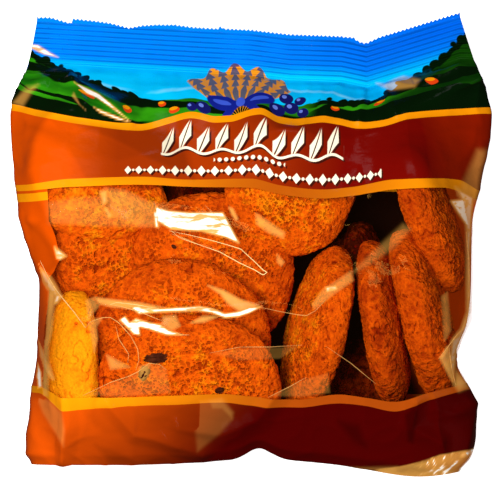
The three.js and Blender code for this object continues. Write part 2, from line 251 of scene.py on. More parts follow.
# Painted glare and shade of the film: places where its colour is painted pale, as glare on creases, or
# dark, as shade: strength, softness of the rim, and its corners.
PAINTED_GLARE_AND_SHADE = (
    (-0.14, 1.2, ((-83.8, 53.2), (-58.8, 50.3), (-35.8, 48.2), (-25.4, 39.5), (-22.9, 27), (-67.9, 27))),
    (-0.34, 2, ((-79.6, 52.4), (-57.9, 49.9), (-35.8, 47.8), (-27.1, 39.5), (-23.8, 27.4), (-42.1, 35.3),
     (-57.9, 43.6), (-71.2, 48.6))),
    (-0.12, 1.5, ((-70.4, -67.2), (-21.2, -65.1), (-21.2, -75.5), (-42.1, -77.6), (-60.4, -78.5), (-67.9,
     -71.4))),
    (-0.2, 1.5, ((-64.6, -82.6), (-55.4, -85.5), (-48.3, -90.5), (-58.8, -90.5))),
    (-0.4, 1.2, ((63.8, -70.5), (67.9, -66.4), (68.8, -69.7), (67.1, -82.2), (65, -81.4))),
    (-0.3, 2, ((-93.5, 9), (-88, 9), (-80.5, -3), (-79.6, -8), (-88, -17), (-91, -8))),
    (-0.25, 2, ((-90, -18), (-86, -16), (-84.6, -40), (-86, -64), (-91, -64), (-90.5, -40))),
    (-0.22, 3, ((-94, 50), (-60, 46), (-40, 38), (-56, 33), (-76, 40))),
    (-0.35, 2, ((36.2, -73), (44.6, -74.7), (47.9, -83.9), (42.1, -81.4))),
    (1, 0.7, ((-39.6, 15.7), (-34.6, 14), (-25.4, 13.2), (-11.7, 13.2), (-5, 0.7), (-10.4, 3.2),
     (-20.4, 5.7), (-32.9, 6.5), (-38.8, 9.9))),
    (0.55, 1.2, ((-62.5, 22), (-60, 22.4), (-59.6, 17.8), (-61.7, 16.1))),
    (0.5, 1, ((-61.2, 15.3), (-59.6, 15.3), (-57.5, 12), (-59.2, 11.1))),
    (0.9, 0.6, ((-40.4, 13.6), (-39.2, 13.6), (-38.3, 7), (-39.6, 7.4))),
    (0.22, 2, ((-60.8, 23.2), (-52.5, 22.4), (-42.1, 17.4), (-34.6, 14.5), (-37.9, 7.8), (-46.2, 7.8),
     (-57.9, 11.1))),
    (0.12, 2.5, ((-84.6, 17.4), (-73.3, 19.5), (-60.8, 19.9), (-56.7, 12), (-44.2, 7.4), (-62.9, 7.8),
     (-83.8, 9))),
    (0.9, 0.5, ((-50, -25.5), (-42.1, -26.4), (-35.8, -26.4), (-29.6, -26), (-21.2, -25.5),
     (-15.8, -26.4), (-10.8, -28.5), (-4.6, -27.6), (-0.4, -26), (4.6, -25.5), (-0.4, -28), (-5.4, -29.7),
     (-10.8, -30.1), (-16.2, -28), (-22.1, -27.2), (-35.8, -27.6), (-46.2, -28.5))),
    (0.45, 0.8, ((-64.6, -21.8), (-58.3, -22.6), (-46.2, -23.9), (-35.8, -26), (-46.2, -26.8),
     (-57.9, -25.5), (-62.9, -24.3))),
    (0.9, 0.5, ((-54.2, -31), (-52.1, -29.7), (-50, -32.2), (-47.5, -30.5), (-42.1, -32.2), (-37.5, -33),
     (-33.8, -35.5), (-28.3, -37.2), (-34.6, -37.2), (-42.1, -34.7), (-46.2, -33.9), (-45.8, -37.2),
     (-48.3, -36.8))),
    (0.35, 1, ((-36.2, -29.7), (-31.2, -29.3), (-29.2, -33.5), (-32.9, -35.5), (-36.7, -33))),
    (0.5, 1, ((-24.6, -32.2), (-20, -29.7), (-14.2, -29.7), (-19.2, -31.8))),
    (0.5, 0.8, ((-17.9, -16.8), (-11.2, -18.9), (-4.6, -22.6), (3.3, -25.1), (-4.6, -27.6), (-9.6, -24.3),
     (-12.5, -20.5))),
    (0.2, 1, ((-67.1, -32.2), (-64.2, -30.5), (-61.2, -30.1), (-63.8, -33.9), (-63.3, -38.9),
     (-64.6, -44.7), (-65.8, -38))),
    (0.2, 1, ((-68.3, -23), (-65, -21.8), (-62.9, -25.5), (-67.1, -30.5))),
    (0.75, 0.8, ((-82.1, -0.5), (-80.8, -1.4), (-76.7, -4.7), (-79.6, -6.4), (-80.8, -6))),
    (0.6, 1.4, ((-88.8, -7.2), (-85, -11.4), (-81.2, -17.2), (-78.8, -21.4), (-81.2, -21.8), (-85, -18),
     (-87.1, -14.7))),
    (0.45, 1, ((-83.8, -16.8), (-81.2, -19.7), (-82.6, -35.5), (-84, -41.8), (-84.2, -62.6),
     (-86.4, -62.6), (-86, -41.8), (-85, -35.5))),
    (0.7, 0.8, ((-80.8, -20.5), (-78.3, -21.4), (-80.4, -24.3), (-82.1, -25.1))),
    (0.55, 1.2, ((-88.8, -38.9), (-84.6, -46.4), (-81.7, -55.5), (-85.4, -53), (-87.9, -46.4))),
    (0.85, 0.8, ((-88.8, -48.9), (-87.1, -53), (-86.7, -58.9), (-88.3, -59.7), (-89.2, -54.7))),
    (0.3, 1, ((-59.6, -45.5), (-50, -50.5), (-57.9, -51.4))),
    (0.35, 1.2, ((-45.8, -50.5), (-41.7, -49.3), (-42.5, -54.3), (-45, -56.4), (-46.2, -53.9))),
    (0.5, 0.7, ((-9.2, 15.7), (-7.5, 14.9), (-5.4, 10.7), (-6.2, 9.9), (-7.9, 12.4))),
    (0.4, 1.2, ((2.1, 12.8), (7.1, 9.5), (13.8, 4.9), (13.3, 2.8), (7.1, 5.3), (2.5, 8.6))),
    (0.3, 0.8, ((10.8, -3.9), (13.8, -7.2), (12.5, -8.9), (10.8, -7.2))),
    (0.25, 1.2, ((25.4, -24.7), (29.6, -18.9), (41.2, -11), (42.1, -14.7), (32.1, -21.8), (26.2, -26.4))),
    (0.75, 0.8, ((30.8, -17.6), (35, -16.8), (35.8, -18.5), (31.2, -19.7))),
    (0.14, 3, ((42.1, -11.4), (51.7, -2.2), (62.9, 8.2), (65.8, 6.5), (59.6, -0.5), (48.8, -8))),
    (0.06, 0.8, ((-17.1, -44.7), (-4.6, -42.6), (12.9, -42.2), (20.4, -41.8), (12.1, -47.2), (-4.6, -48))),
    (0.07, 0.8, ((7.9, -62.6), (16.2, -58.5), (22.9, -55.1), (32.1, -52.6), (32.9, -61.4), (20.4, -63))),
    (0.07, 0.8, ((-67.9, -62.2), (-57.9, -57.2), (-49.6, -53.9), (-45.8, -51.8), (-41.2, -49.3),
     (-36.7, -49.7), (-34.6, -51.8), (-32.9, -61.4), (-54.6, -63))),
    (0.75, 0.8, ((82.9, 18.2), (88.8, 19), (91.2, 7.8), (89.6, 8.2), (85.8, 13.6))),
    (0.62, 1.2, ((85, 24), (92.9, 19.9), (92.1, 7), (91.2, -6.4), (91.2, -27.2), (88.3, -36.4),
     (85.8, -43.9), (84.6, -50.1), (83.8, -56.4), (82.1, -48), (82.9, -39.7), (87.1, -34.7), (89.6, -28),
     (89.6, -10.5), (89.6, 5.3), (88.8, 16.5))),
    (0.5, 0.8, ((77.9, -46.8), (81.2, -41.8), (83.3, -46.4), (84.2, -58), (82.1, -54.7))),
    (0.5, 1.5, ((84.2, -58), (85, -52.2), (87.9, -54.7), (91.2, -58.9), (86.2, -60.5))),
    (0.25, 1, ((78.8, -21.4), (81.2, -19.7), (82.5, -35.5), (80, -39.7))),
    (0.3, 2, ((94.6, 39.5), (98.8, 39.5), (94.6, 16.5), (86.2, 20.7))),
    (0.95, 0.5, ((-92.5, 84), (-89.2, 83.6), (-84.6, 80.7), (-80.8, 78.6), (-86.7, 79.9), (-92.1, 82.4))),
    (0.3, 1.2, ((-99.6, 59.5), (-94.6, 65.3), (-88.8, 67), (-92.1, 63.2), (-95.4, 57.8))),
    (0.97, 0.4, ((-73.8, 67.8), (-68.3, 65.2), (-63.3, 62.8), (-58.3, 58.6), (-50, 51.2), (-57.5, 56.6),
     (-64.2, 61.2), (-68.3, 63))),
    (0.9, 0.4, ((-65.4, 57.2), (-62.5, 56), (-50, 51), (-55.4, 52), (-62.5, 54.8))),
    (0.35, 0.5, ((-73.8, 63.6), (-71.2, 58.2), (-68.8, 56.1), (-71.7, 58.6), (-74.6, 62))),
    (0.36, 0.8, ((52.5, 67.8), (56.2, 67.4), (60.4, 69.5), (63.8, 70.7), (67.1, 69.9), (68.8, 66.1),
     (63.8, 65.3), (58.3, 64.5))),
    (0.5, 1.2, ((67.1, 69.9), (70.4, 69), (68.3, 66.1))),
    (0.2, 1, ((-88.8, -63.5), (-83.8, -64.3), (-78.3, -69.3), (-77.1, -76.4), (-77.5, -83.5),
     (-81.2, -77.2), (-86.2, -69.7))),
    (0.07, 1.2, ((-21.7, -64.7), (-11.2, -63.5), (-7.5, -69.7), (-7.9, -72.2), (-12.9, -78),
     (-22.1, -85.5), (-22.9, -77.2))),
    (0.15, 1.2, ((-17.5, -64.3), (-12.1, -63.5), (-7.5, -69.3), (-7.9, -72.2), (-12.1, -68),
     (-16.2, -68))),
    (0.25, 1.2, ((28.8, -92.6), (60, -93.5), (60, -92.2), (45.4, -92.6))),
)

# Print on the landscape: places across and up, with the bales' sizes and the berries' radii. The bow's
# ovals have their middle, half length and half width, and turn in radians.
BALES = ((-73, 61.5, 1.2), (-55, 58.4, 1.3), (-36, 59.4, 1.0), (-31, 55.8, 1.3), (34, 58.2, 1.1),
         (52, 62.8, 1.0), (72, 66.5, 1.3))
BERRIES = ((10, 56.4, 3.2), (15.6, 58.4, 3.0), (13.2, 63, 2.7), (-18.5, 56.2, 2.9), (20.4, 56, 2.4),
           (-23.2, 55.8, 2.1), (18.6, 62.4, 2.2))
BOW = {
    "bow": (((-10.4, 59.2), (6.4, 3.4), -0.35), ((2.8, 59.2), (6.4, 3.4), 0.35),
            ((-8.6, 54.6), (4.4, 1.5), 0.9), ((0.8, 54.6), (4.4, 1.5), -0.9)),
    "bow_fold": (((-10.8, 59.7), (3.6, 1.1), -0.35), ((3.2, 59.7), (3.6, 1.1), 0.35),
                 ((-3.8, 58.8), (1.7, 2.3))),
}

# ---------------------------------------------------------------- settings

def linear(red, green, blue):
    """A colour given as it shows on a screen, from 0 to 255, in the linear values shaders use."""
    def one(part):
        part /= 255
        return part / 12.92 if part <= 0.04045 else ((part + 0.055) / 1.055) ** 2.4
    return one(red), one(green), one(blue), 1.0


def colour(name, description, red, green, blue):
    """A colour among the settings, given as it shows on a screen."""
    return FloatVectorProperty(name=name, description=description, subtype="COLOR", size=4,
                               min=0, max=1, default=linear(red, green, blue))


class CookieSettings(bpy.types.PropertyGroup):
    """The cookies' relief and colours."""
    lumps: FloatProperty(name="Lumps", description="Height of the broad lumps", unit="LENGTH",
                         default=1.6 * MM, min=0)
    crumb: FloatProperty(name="Crumb", description="Height of the crumbly grain", unit="LENGTH",
                         default=1.2 * MM, min=0)
    cracks: FloatProperty(name="Cracks", description="Depth of the cracks", unit="LENGTH",
                          default=0.7 * MM, min=0)
    pale: colour("Pale", "A pale cookie", 255, 156, 12)
    baked: colour("Baked", "A well baked cookie", 232, 92, 6)
    dark: colour("Dark", "A dark cookie", 170, 52, 4)
    # Painted shade: the colour of cookies deep in the bag.
    deep_shade: colour("Darkest", "A cookie deep in the bag", 52, 9, 2)
    pit: colour("Pits", "Pits and cracks", 116, 8, 1)
    raisin: colour("Raisin", "Raisin skin", 58, 22, 10)


class FilmSettings(bpy.types.PropertyGroup):
    """The film's folds and the print's colours."""
    wrinkle: FloatProperty(name="Wrinkles", description="Height of the small wrinkles", unit="LENGTH",
                           default=0.3 * MM, min=0)
    sky_high: colour("High sky", "Sky at the seal", 0, 124, 232)
    sky_low: colour("Low sky", "Sky at the horizon", 0, 195, 248)
    meadow: colour("Meadow", "Bright fields", 48, 148, 12)
    wood: colour("Woods", "Dark fields and trees", 3, 20, 3)
    gold: colour("Gold", "Stripes", 236, 142, 5)
    # The bright and dark ends of the bands and stripes are partly print and partly painted light and
    # shade, bright to the left and dark to the right.
    gold_dark: colour("Dark gold", "The lower stripes' darker end", 160, 66, 8)
    brown_edge: colour("Bright brown", "Left side, and the upper band's left end", 206, 72, 1)
    brown: colour("Brown", "Upper band", 154, 48, 3)
    brown_dark: colour("Dark brown", "The upper band's darker end", 108, 6, 2)
    lower: colour("Lower brown", "Lower band", 206, 74, 4)
    lower_dark: colour("Dark lower brown", "The lower band's darker end", 68, 1, 1)
    cream: colour("Cream", "Garland of oat leaves", 252, 240, 208)
    shadow: colour("Shadow", "Dark edge of the garland", 58, 16, 8)


class StageSettings(bpy.types.PropertyGroup):
    """Lights."""
    key: FloatProperty(name="Key light", description="Power of the soft light from the left",
                       default=6.0, min=0, unit="POWER")
    glint: FloatProperty(name="Glint light", description="Power of the light that folds reflect",
                         default=0.25, min=0, unit="POWER")
    fill: FloatProperty(name="Fill light", description="Power of the weak light", default=1.0, min=0,
                        unit="POWER")


# ---------------------------------------------------------------- the form in numbers

def smoothstep(value, low, high):
    """0 under low, 1 over high, and a smooth climb in between."""
    share = np.clip((value - low) / (high - low), 0, 1)
    return share * share * (3 - 2 * share)


def smooth_curve(place, places, values):
    """Values between those given, on a smooth curve through them that never overshoots."""
    places, values = np.array(places, float), np.array(values, float)
    rise = np.diff(values) / np.diff(places)
    slope = np.zeros(len(values))
    both = rise[:-1] * rise[1:]
    total = np.where(both > 0, rise[:-1] + rise[1:], 1)
    slope[1:-1] = np.where(both > 0, 2 * both / total, 0)
    slope[-1] = rise[-1]
    i = np.clip(np.searchsorted(places, place) - 1, 0, len(places) - 2)
    span = places[i + 1] - places[i]
    s = np.clip((place - places[i]) / span, 0, 1)
    return ((2 * s**3 - 3 * s**2 + 1) * values[i] + (s**3 - 2 * s**2 + s) * span * slope[i]
            + (3 * s**2 - 2 * s**3) * values[i + 1] + (s**3 - s**2) * span * slope[i + 1])


def section_value(key, y):
    """A value of the bag's sections, at height y up the bag."""
    return smooth_curve(y, SECTIONS["y"], SECTIONS[key])


def top_wave(x):
    """How far the top edge rises over its mean level."""
    return np.interp(x, *TOP_EDGE)


def bottom_wave(x):
    """How far the bottom edge rises over its mean level."""
    return sum(rise * np.exp(-((x - at) / width) ** 2) for at, width, rise in BOTTOM_EDGE) - FOOT_DROP


def waved(x, y):
    """The height up the bag of a point, once the edges' waves are added."""
    top = smoothstep(y, TOP - TOP_WAVE_REACH, FOOT)
    bottom = 1 - smoothstep(y, BASE, BASE + BOTTOM_WAVE_REACH)
    return y + top_wave(x) * top + bottom_wave(x) * bottom


UNWAVE_PASSES = 24


def unwaved(x, height):
    """The height that waved() turns into the one given."""
    y = height
    for _ in range(UNWAVE_PASSES):
        y = y + height - waved(x, y)
    return y


def seal_curl(x, y):
    """How far the film lifts with the seal's curl."""
    swing = SEAL_SWING * np.sin(x / RIGHT_END * np.pi * SEAL_WAVES)
    lift = SEAL_LIFT * smoothstep(x, TOP_NOTCH, RIGHT_END)
    return smoothstep(y, SHOULDER_Y, FOOT) * (swing + lift)


def crimp(y):
    """How far the crimps push the seal's film, to either side."""
    up = (y - FOOT) / SEAL_HEIGHT * CRIMPS
    return np.where(up < CRIMP_START, 0, CRIMP_DEPTH * (np.abs(up % 1 - 0.5) * 4 - 1))


def section_point(u, w, y):
    """A point (u, w) of the unit square, at height y, on the bag's section there: x and z."""
    left, right, back, front, square = (
        section_value(key, y) for key in ("left", "right", "back", "front", "square"))
    across, up = np.abs(u), np.abs(w)
    reach = np.maximum((across**square + up**square) ** (1 / square), 1e-9)
    inward = np.maximum(across, up) / reach
    share = smoothstep(y, SHOULDER_Y, FOOT)
    widest = np.max([(1 + side**square) ** (-1 / square) * (1 - share)
                     + (1 - GUSSET_TUCK * (1 - side)) * share
                     for side in np.linspace(0, 1, SIDE_STEPS + 1)], axis=0)
    round_x, round_z = u * inward, w * inward
    pinched_x = u * (1 - GUSSET_TUCK * (1 - up))
    x = (left + right) / 2 + (right - left) / 2 / widest * (round_x + (pinched_x - round_x) * share)
    z = (back + front) / 2 + (front - back) / 2 * (round_z + (w - round_z) * share)
    return x, z


LATTICE = 64  # the noise repeats after this many lumps


def lattice_noise(x, y, size, seed):
    """Smooth noise from 0 to 1, with lumps about size apart."""
    values = np.random.default_rng(seed).random((LATTICE, LATTICE))
    across, up = np.broadcast_arrays(x / size, y / size)
    i, j = np.floor(across).astype(int), np.floor(up).astype(int)
    s, t = smoothstep(across - i, 0, 1), smoothstep(up - j, 0, 1)
    i, next_i, j, next_j = (k % LATTICE for k in (i, i + 1, j, j + 1))
    low = values[i, j] * (1 - s) + values[next_i, j] * s
    high = values[i, next_j] * (1 - s) + values[next_i, next_j] * s
    return low * (1 - t) + high * t


def ridges(x, y, size, seed):
    """Sharp-edged noise from 0 to 1: 1 on the ridges."""
    return 1 - np.abs(2 * lattice_noise(x, y, size, seed) - 1)


# ---------------------------------------------------------------- making meshes

def select_only(piece):
    """Selects this piece alone, and makes it the active one."""
    bpy.ops.object.select_all(action="DESELECT")
    piece.select_set(True)
    bpy.context.view_layer.objects.active = piece


def join(pieces):
    """Makes one piece of several: the first."""
    select_only(pieces[0])
    for piece in pieces[1:]:
        piece.select_set(True)
    bpy.ops.object.join()


def vertices(piece):
    """The places of a piece's vertices, in metres."""
    flat = np.empty(len(piece.data.vertices) * 3)
    piece.data.vertices.foreach_get("co", flat)
    return flat.reshape(-1, 3)


def place_vertices(piece, points):
    """Moves a piece's vertices to these places, in metres."""
    piece.data.vertices.foreach_set("co", points.ravel())
    piece.data.update()


def add_ball(subdivisions):
    """A new round piece, with the places of its vertices, one from the middle."""
    bpy.ops.object.select_all(action="DESELECT")
    bpy.ops.mesh.primitive_ico_sphere_add(subdivisions=subdivisions, radius=1)
    return bpy.context.object, vertices(bpy.context.object)


def set_attribute(piece, name, values):
    """Gives each of the piece's vertices a number, which its material reads."""
    piece.data.attributes.new(name, "FLOAT", "POINT").data.foreach_set("value", values)


def finish_piece(piece, name, material):
    """Names the piece, gives it its material, attaches it to the body it rides on and hides the solid it
    stands for.
    """
    piece.name = name
    piece.data.name = name
    piece.data.materials.clear()
    piece.data.materials.append(material)
    select_only(piece)
    bpy.ops.object.shade_smooth()
    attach(piece, BODY)
    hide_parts(BAG)


def film_sheet(name, points, on_print, material):
    """A sheet of film through rows and columns of points, with places on the flat print, and painted glare
    and shade.
    """
    rows, columns = points.shape[0] - 1, points.shape[1] - 1
    bpy.ops.object.select_all(action="DESELECT")
    bpy.ops.mesh.primitive_grid_add(x_subdivisions=columns, y_subdivisions=rows, size=1)
    piece = bpy.context.object
    flat = vertices(piece)
    column = np.rint((flat[:, 0] + 0.5) * columns).astype(int)
    row = np.rint((flat[:, 1] + 0.5) * rows).astype(int)
    place_vertices(piece, points[row, column] * MM)
    corners = np.empty(len(piece.data.loops), int)
    piece.data.loops.foreach_get("vertex_index", corners)
    piece.data.uv_layers[0].name = "print"
    piece.data.uv_layers["print"].data.foreach_set(
        "uv", (on_print[row, column][corners] / PRINT_UNIT).ravel())
    set_attribute(piece, "haze", painted_glare_and_shade_at(points[..., 0], points[..., 1])[row, column])
    finish_piece(piece, name, material)


# ---------------------------------------------------------------- shader maths

class Value:
    """A socket of a material, so that its maths reads as plain Python."""

    def __init__(self, paint, socket):
        self.paint = paint
        self.socket = socket

    def __add__(self, other):
        return self.paint.math("ADD", self, other)

    def __sub__(self, other):
        return self.paint.math("SUBTRACT", self, other)

    def __rsub__(self, other):
        return self.paint.math("SUBTRACT", other, self)

    def __mul__(self, other):
        return self.paint.math("MULTIPLY", self, other)

    def __truediv__(self, other):
        return self.paint.math("DIVIDE", self, other)

    def __pow__(self, other):
        return self.paint.math("POWER", self, other)

    def __abs__(self):
        return self.paint.math("ABSOLUTE", self)

    __radd__ = __add__
    __rmul__ = __mul__


class Paint:
    """Builds one material's nodes."""

    def __init__(self, name):
        self.material = bpy.data.materials.new(name)
        self.material.use_nodes = True
        self.tree = self.material.node_tree
        self.tree.nodes.clear()

    def node(self, kind, settings=None, inputs=None, output=0):
        """A new node with its settings, and the values or links of its sockets."""
        node = self.tree.nodes.new(kind)
        for key, value in (settings or {}).items():
            if key == "stops":
                self.set_stops(node.color_ramp, value)
            else:
                setattr(node, key, value)
        for key, value in (inputs or {}).items():
            if isinstance(value, Value):
                self.tree.links.new(value.socket, node.inputs[key])
            else:
                node.inputs[key].default_value = value
        return Value(self, node.outputs[output])

    @staticmethod
    def set_stops(ramp, stops):
        """Gives a colour ramp its stops: a place from 0 to 1 and a colour for each."""
        while len(ramp.elements) < len(stops):
            ramp.elements.new(1)
        for element, (position, stop_colour) in zip(ramp.elements, stops):
            element.position = position
            element.color = stop_colour

    def math(self, operation, *values):
        """The result of one operation on numbers or sockets."""
        return self.node("ShaderNodeMath", {"operation": operation}, dict(enumerate(values)))

    def least(self, *values):
        """The smallest of numbers and sockets."""
        total = values[0]
        for value in values[1:]:
            total = self.math("MINIMUM", total, value)
        return total

    def most(self, *values):
        """The largest of numbers and sockets."""
        total = values[0]
        for value in values[1:]:
            total = self.math("MAXIMUM", total, value)
        return total

    def above(self, value, edge, soft=0.01):
        """1 where value is over edge, 0 where it is under, soft in between."""
        return self.node("ShaderNodeMapRange", {"interpolation_type": "SMOOTHSTEP"}, {
            "Value": value, "From Min": edge - soft, "From Max": edge + soft})

    def below(self, value, edge, soft=0.01):
        """0 where value is over edge, 1 where it is under, soft in between."""
        return 1 - self.above(value, edge, soft)

    def mix(self, share, start, end):
        """A colour between two."""
        return self.node("ShaderNodeMix", {"data_type": "RGBA"}, {0: share, 6: start, 7: end}, 2)

    def dim(self, tint, share):
        """A colour times a number."""
        return self.node("ShaderNodeVectorMath", {"operation": "SCALE"}, {0: tint, "Scale": share})

    def object_place(self):
        """Places on the piece, in metres."""
        return self.node("ShaderNodeTexCoord", output="Object")

    def print_place(self):
        """Places across and up the flat print, in millimetres."""
        place = self.node("ShaderNodeUVMap", {"uv_map": "print"})
        across = self.node("ShaderNodeSeparateXYZ", None, {0: place}, "X")
        up = self.node("ShaderNodeSeparateXYZ", None, {0: place}, "Y")
        return across * PRINT_UNIT, up * PRINT_UNIT

    def attribute(self, name):
        """A number that each vertex of the piece has."""
        return self.node("ShaderNodeAttribute", {"attribute_name": name}, output="Fac")

    def noise(self, place, size, detail=2.0, roughness=0.5, stretch=None):
        """Noise whose lumps are about size apart, in metres."""
        if stretch:
            place = self.node("ShaderNodeMapping", None, {"Vector": place, "Scale": stretch})
        return self.node("ShaderNodeTexNoise", None, {
            "Vector": place, "Scale": 1 / size, "Detail": detail, "Roughness": roughness})

    def cells(self, place, size, settings=None):
        """Distance to the nearest of points about size apart, as a share of size."""
        return self.node("ShaderNodeTexVoronoi", settings, {"Vector": place, "Scale": 1 / size})

    def bump(self, height, distance, strength=1.0):
        """A normal tilted by relief of this height, from 0 to 1, over a distance in metres."""
        return self.node("ShaderNodeBump", None, {
            "Height": height, "Distance": distance, "Strength": strength})

    def finished(self, inputs):
        """The material, with its surface as one Principled shader with these inputs."""
        shader = self.node("ShaderNodeBsdfPrincipled", None, inputs)
        out = self.tree.nodes.new("ShaderNodeOutputMaterial")
        self.tree.links.new(shader.socket, out.inputs["Surface"])
        return self.material


def spot(paint, across, up, at, size, turn=0.0, soft=0.12):
    """An oval of the print: 1 inside, 0 outside."""
    cos, sin = math.cos(turn), math.sin(turn)
    along = ((across - at[0]) * cos + (up - at[1]) * sin) / size[0]
    over = ((up - at[1]) * cos - (across - at[0]) * sin) / size[1]
    return paint.below(along * along + over * over, 1, soft)


def between(paint, value, low, high, soft):
    """1 where value is between low and high, 0 elsewhere."""
    return paint.above(value, low, soft) * paint.below(value, high, soft)


def repeated(paint, across, pitch):
    """How far each place is from the middle of its repeat."""
    return (paint.math("FRACT", across / pitch) - 0.5) * pitch


# ---------------------------------------------------------------- materials

# Raisin bloom, the painted glare of creased film and the painted glints of its folds, the painted shade of
# the back's middle, and inks of the print that the settings don't hold.
TINTS = {name: linear(*parts) for name, parts in {
    "bloom": (100, 46, 22),
    "crease_glare": (252, 182, 84), "bright_crease_glare": (255, 250, 236), "dull_crease_glare": (222, 158, 84),
    "fold": (240, 180, 100), "bright_fold_glint": (255, 216, 142),
    "side_sky": (0, 84, 214), "cloud": (130, 220, 252), "far_field": (20, 96, 8), "bale": (214, 62, 14),
    "husk": (96, 44, 8), "oats": (222, 140, 26), "bow": (16, 30, 132), "bow_fold": (56, 84, 200),
    "berry": (18, 20, 92), "berry_shine": (100, 124, 214),
    "brown_corner": (128, 22, 1), "back": (16, 4, 2), "back_side": (190, 66, 2),
}.items()}


def cookie_material(settings):
    """Baked oat crumb: pale to dark by how it is baked and by painted shade, with pits, and painted shade
    in cracks and hollows.
    """
    paint = Paint("baked_cookie")
    place = paint.object_place()
    crust, relief, bake = (paint.attribute(name) for name in ("crust", "relief", "bake"))
    patches = paint.noise(place, 0.008, 4, 0.6)
    grain = paint.noise(place, 0.0012, 4, 0.7)
    clusters = paint.above(paint.noise(place, 0.007, 2), 0.45, 0.16)
    pits = paint.most(paint.below(paint.cells(place, 0.0019), 0.33, 0.1) * (0.15 + 0.85 * clusters),
                      paint.below(paint.cells(place, 0.0011), 0.36, 0.12) * clusters * 0.8)
    holes = paint.below(paint.cells(place, 0.0026), 0.24, 0.1) * paint.above(
        paint.noise(place, 0.009, 2), 0.5, 0.10)
    # The level mixes how well each cookie is baked with painted shade: darker to the right, deep in the
    # bag, and in low places of the relief.
    level = (bake + (patches - 0.5) * 1.0 + (0.5 - crust) * 0.2 - (grain - 0.5) * 0.5
             - (relief - 0.6) * 0.35 + paint.below(relief, 0.5, 0.25) * 0.16)
    tint = paint.node("ShaderNodeValToRGB", {"stops": (
        (0.0, settings.pale), (0.225, settings.baked), (0.5, settings.dark), (0.75, settings.deep_shade))},
        {"Fac": level / 2})
    # Painted shade in the cracks and hollows, where the relief is low.
    crack_shade = paint.below(relief, 0.36, 0.22) * paint.above(paint.noise(place, 0.013, 2), 0.46, 0.1)
    # Dark marks: pits and holes of the crumb, and the painted shade in cracks.
    dark = paint.most(pits * paint.least(0.05 + bake * 1.65, 0.85) * (0.45 + 0.55 * crust),
                      holes * paint.least(0.2 + bake, 0.7), crack_shade * paint.least(0.35 + bake, 0.9))
    height = grain - dark * 0.9 + paint.noise(place, 0.0005, 2) * 0.4
    return paint.finished({
        "Base Color": paint.mix(dark * 0.8, tint, settings.pit), "Roughness": 0.9,
        "Specular IOR Level": 0.05, "Normal": paint.bump(height, 0.0009)})


def raisin_material(settings):
    """Dark wrinkled skin with a slight sheen."""
    paint = Paint("raisin_skin")
    place = paint.object_place()
    bloom = paint.noise(place, 0.002, 3)
    folds = paint.noise(place, 0.0012, 3, stretch=(1, 2.5, 1))
    return paint.finished({
        "Base Color": paint.mix(paint.above(bloom, 0.55, 0.15) * 0.5, settings.raisin, TINTS["bloom"]),
        "Roughness": 0.38 + 0.2 * bloom, "Specular IOR Level": 0.25,
        "Normal": paint.bump(folds, 0.0006, 0.8)})


def painted_glare_tint(paint, haze):
    """The colour of the painted glare on creased film: warm where it is a little dull, near white where it
    is bright.
    """
    patchy = paint.above(paint.noise(paint.object_place(), 0.005, 3, stretch=(0.5, 2, 1)), 0.56, 0.06)
    bright = paint.mix(patchy, TINTS["bright_crease_glare"], TINTS["dull_crease_glare"])
    return paint.mix(paint.above(haze, 0.7, 0.25), TINTS["crease_glare"], bright)


def clear_film_material():
    """Thin clear film, which mirrors a little, with painted glare where it is creased: pale, dull and
    faintly glowing there.
    """
    paint = Paint("clear_film")
    place = paint.object_place()
    haze = paint.attribute("haze")
    uneven = haze * (0.76 + 0.48 * paint.noise(place, 0.004, 3, 0.6))
    edge = paint.node("ShaderNodeFresnel", None, {"IOR": 1.5})
    tint = painted_glare_tint(paint, haze)
    return paint.finished({
        # Where the film is creased, its colour is painted glare: pale, more opaque, and glowing faintly.
        "Base Color": tint, "Metallic": paint.below(haze, 0.05, 0.04),
        "Roughness": 0.07 + 0.3 * haze,
        "Alpha": paint.least(edge * 1.1, 0.12) + paint.most(uneven, 0),
        "Emission Color": paint.dim(tint, paint.most(haze, 0)), "Emission Strength": 0.3,
        "Normal": paint.bump(paint.noise(place, 0.011, 3, stretch=(1, 1.7, 1)), 0.001, 0.2)})


def fold_material():
    """Painted glints along the sharp folds of clear film: pale lines, each brighter or fainter, patchy
    along their length.
    """
    paint = Paint("film_fold")
    bright = paint.attribute("bright")
    patchy_glint = paint.above(paint.noise(paint.object_place(), 0.006, 2), 0.42, 0.14)
    return paint.finished({
        "Base Color": paint.mix(paint.above(bright, 0.8, 0.2), TINTS["fold"], TINTS["bright_fold_glint"]),
        "Roughness": 0.5, "Specular IOR Level": 0.1, "Alpha": bright * (0.45 + 0.5 * patchy_glint)})


def printed_ripple(paint, place, strength):
    """The faint ripple of printed film."""
    return paint.bump(paint.noise(place, 0.009, 3, stretch=(1, 1.6, 1)), 0.001, strength)


def gold_stripes(paint, up):
    """1 on the three gold stripes, 0 elsewhere."""
    return paint.most(*(between(paint, up, low, high, 0.12) for low, high in STRIPES))


def sky(paint, across, up, drift, settings):
    """Sky that deepens to the seal and to the right, with a ribbon of thin cloud."""
    high = paint.above(up - 3 * paint.above(across, 5, 30), 75, 4)
    tint = paint.mix(high, settings.sky_low, settings.sky_high)
    deep = paint.above(across, 30, 55) * (0.2 + 0.45 * paint.above(up, 84, 5))
    tint = paint.mix(deep, tint, TINTS["side_sky"])
    ribbon = up - 66.5 - 1.7 * paint.math("SINE", across * 0.075 + 1)
    clouds = paint.below(abs(ribbon), 0.6, 0.5) * paint.above(drift, 0.4, 0.1)
    return paint.mix(clouds * 0.6, tint, TINTS["cloud"])


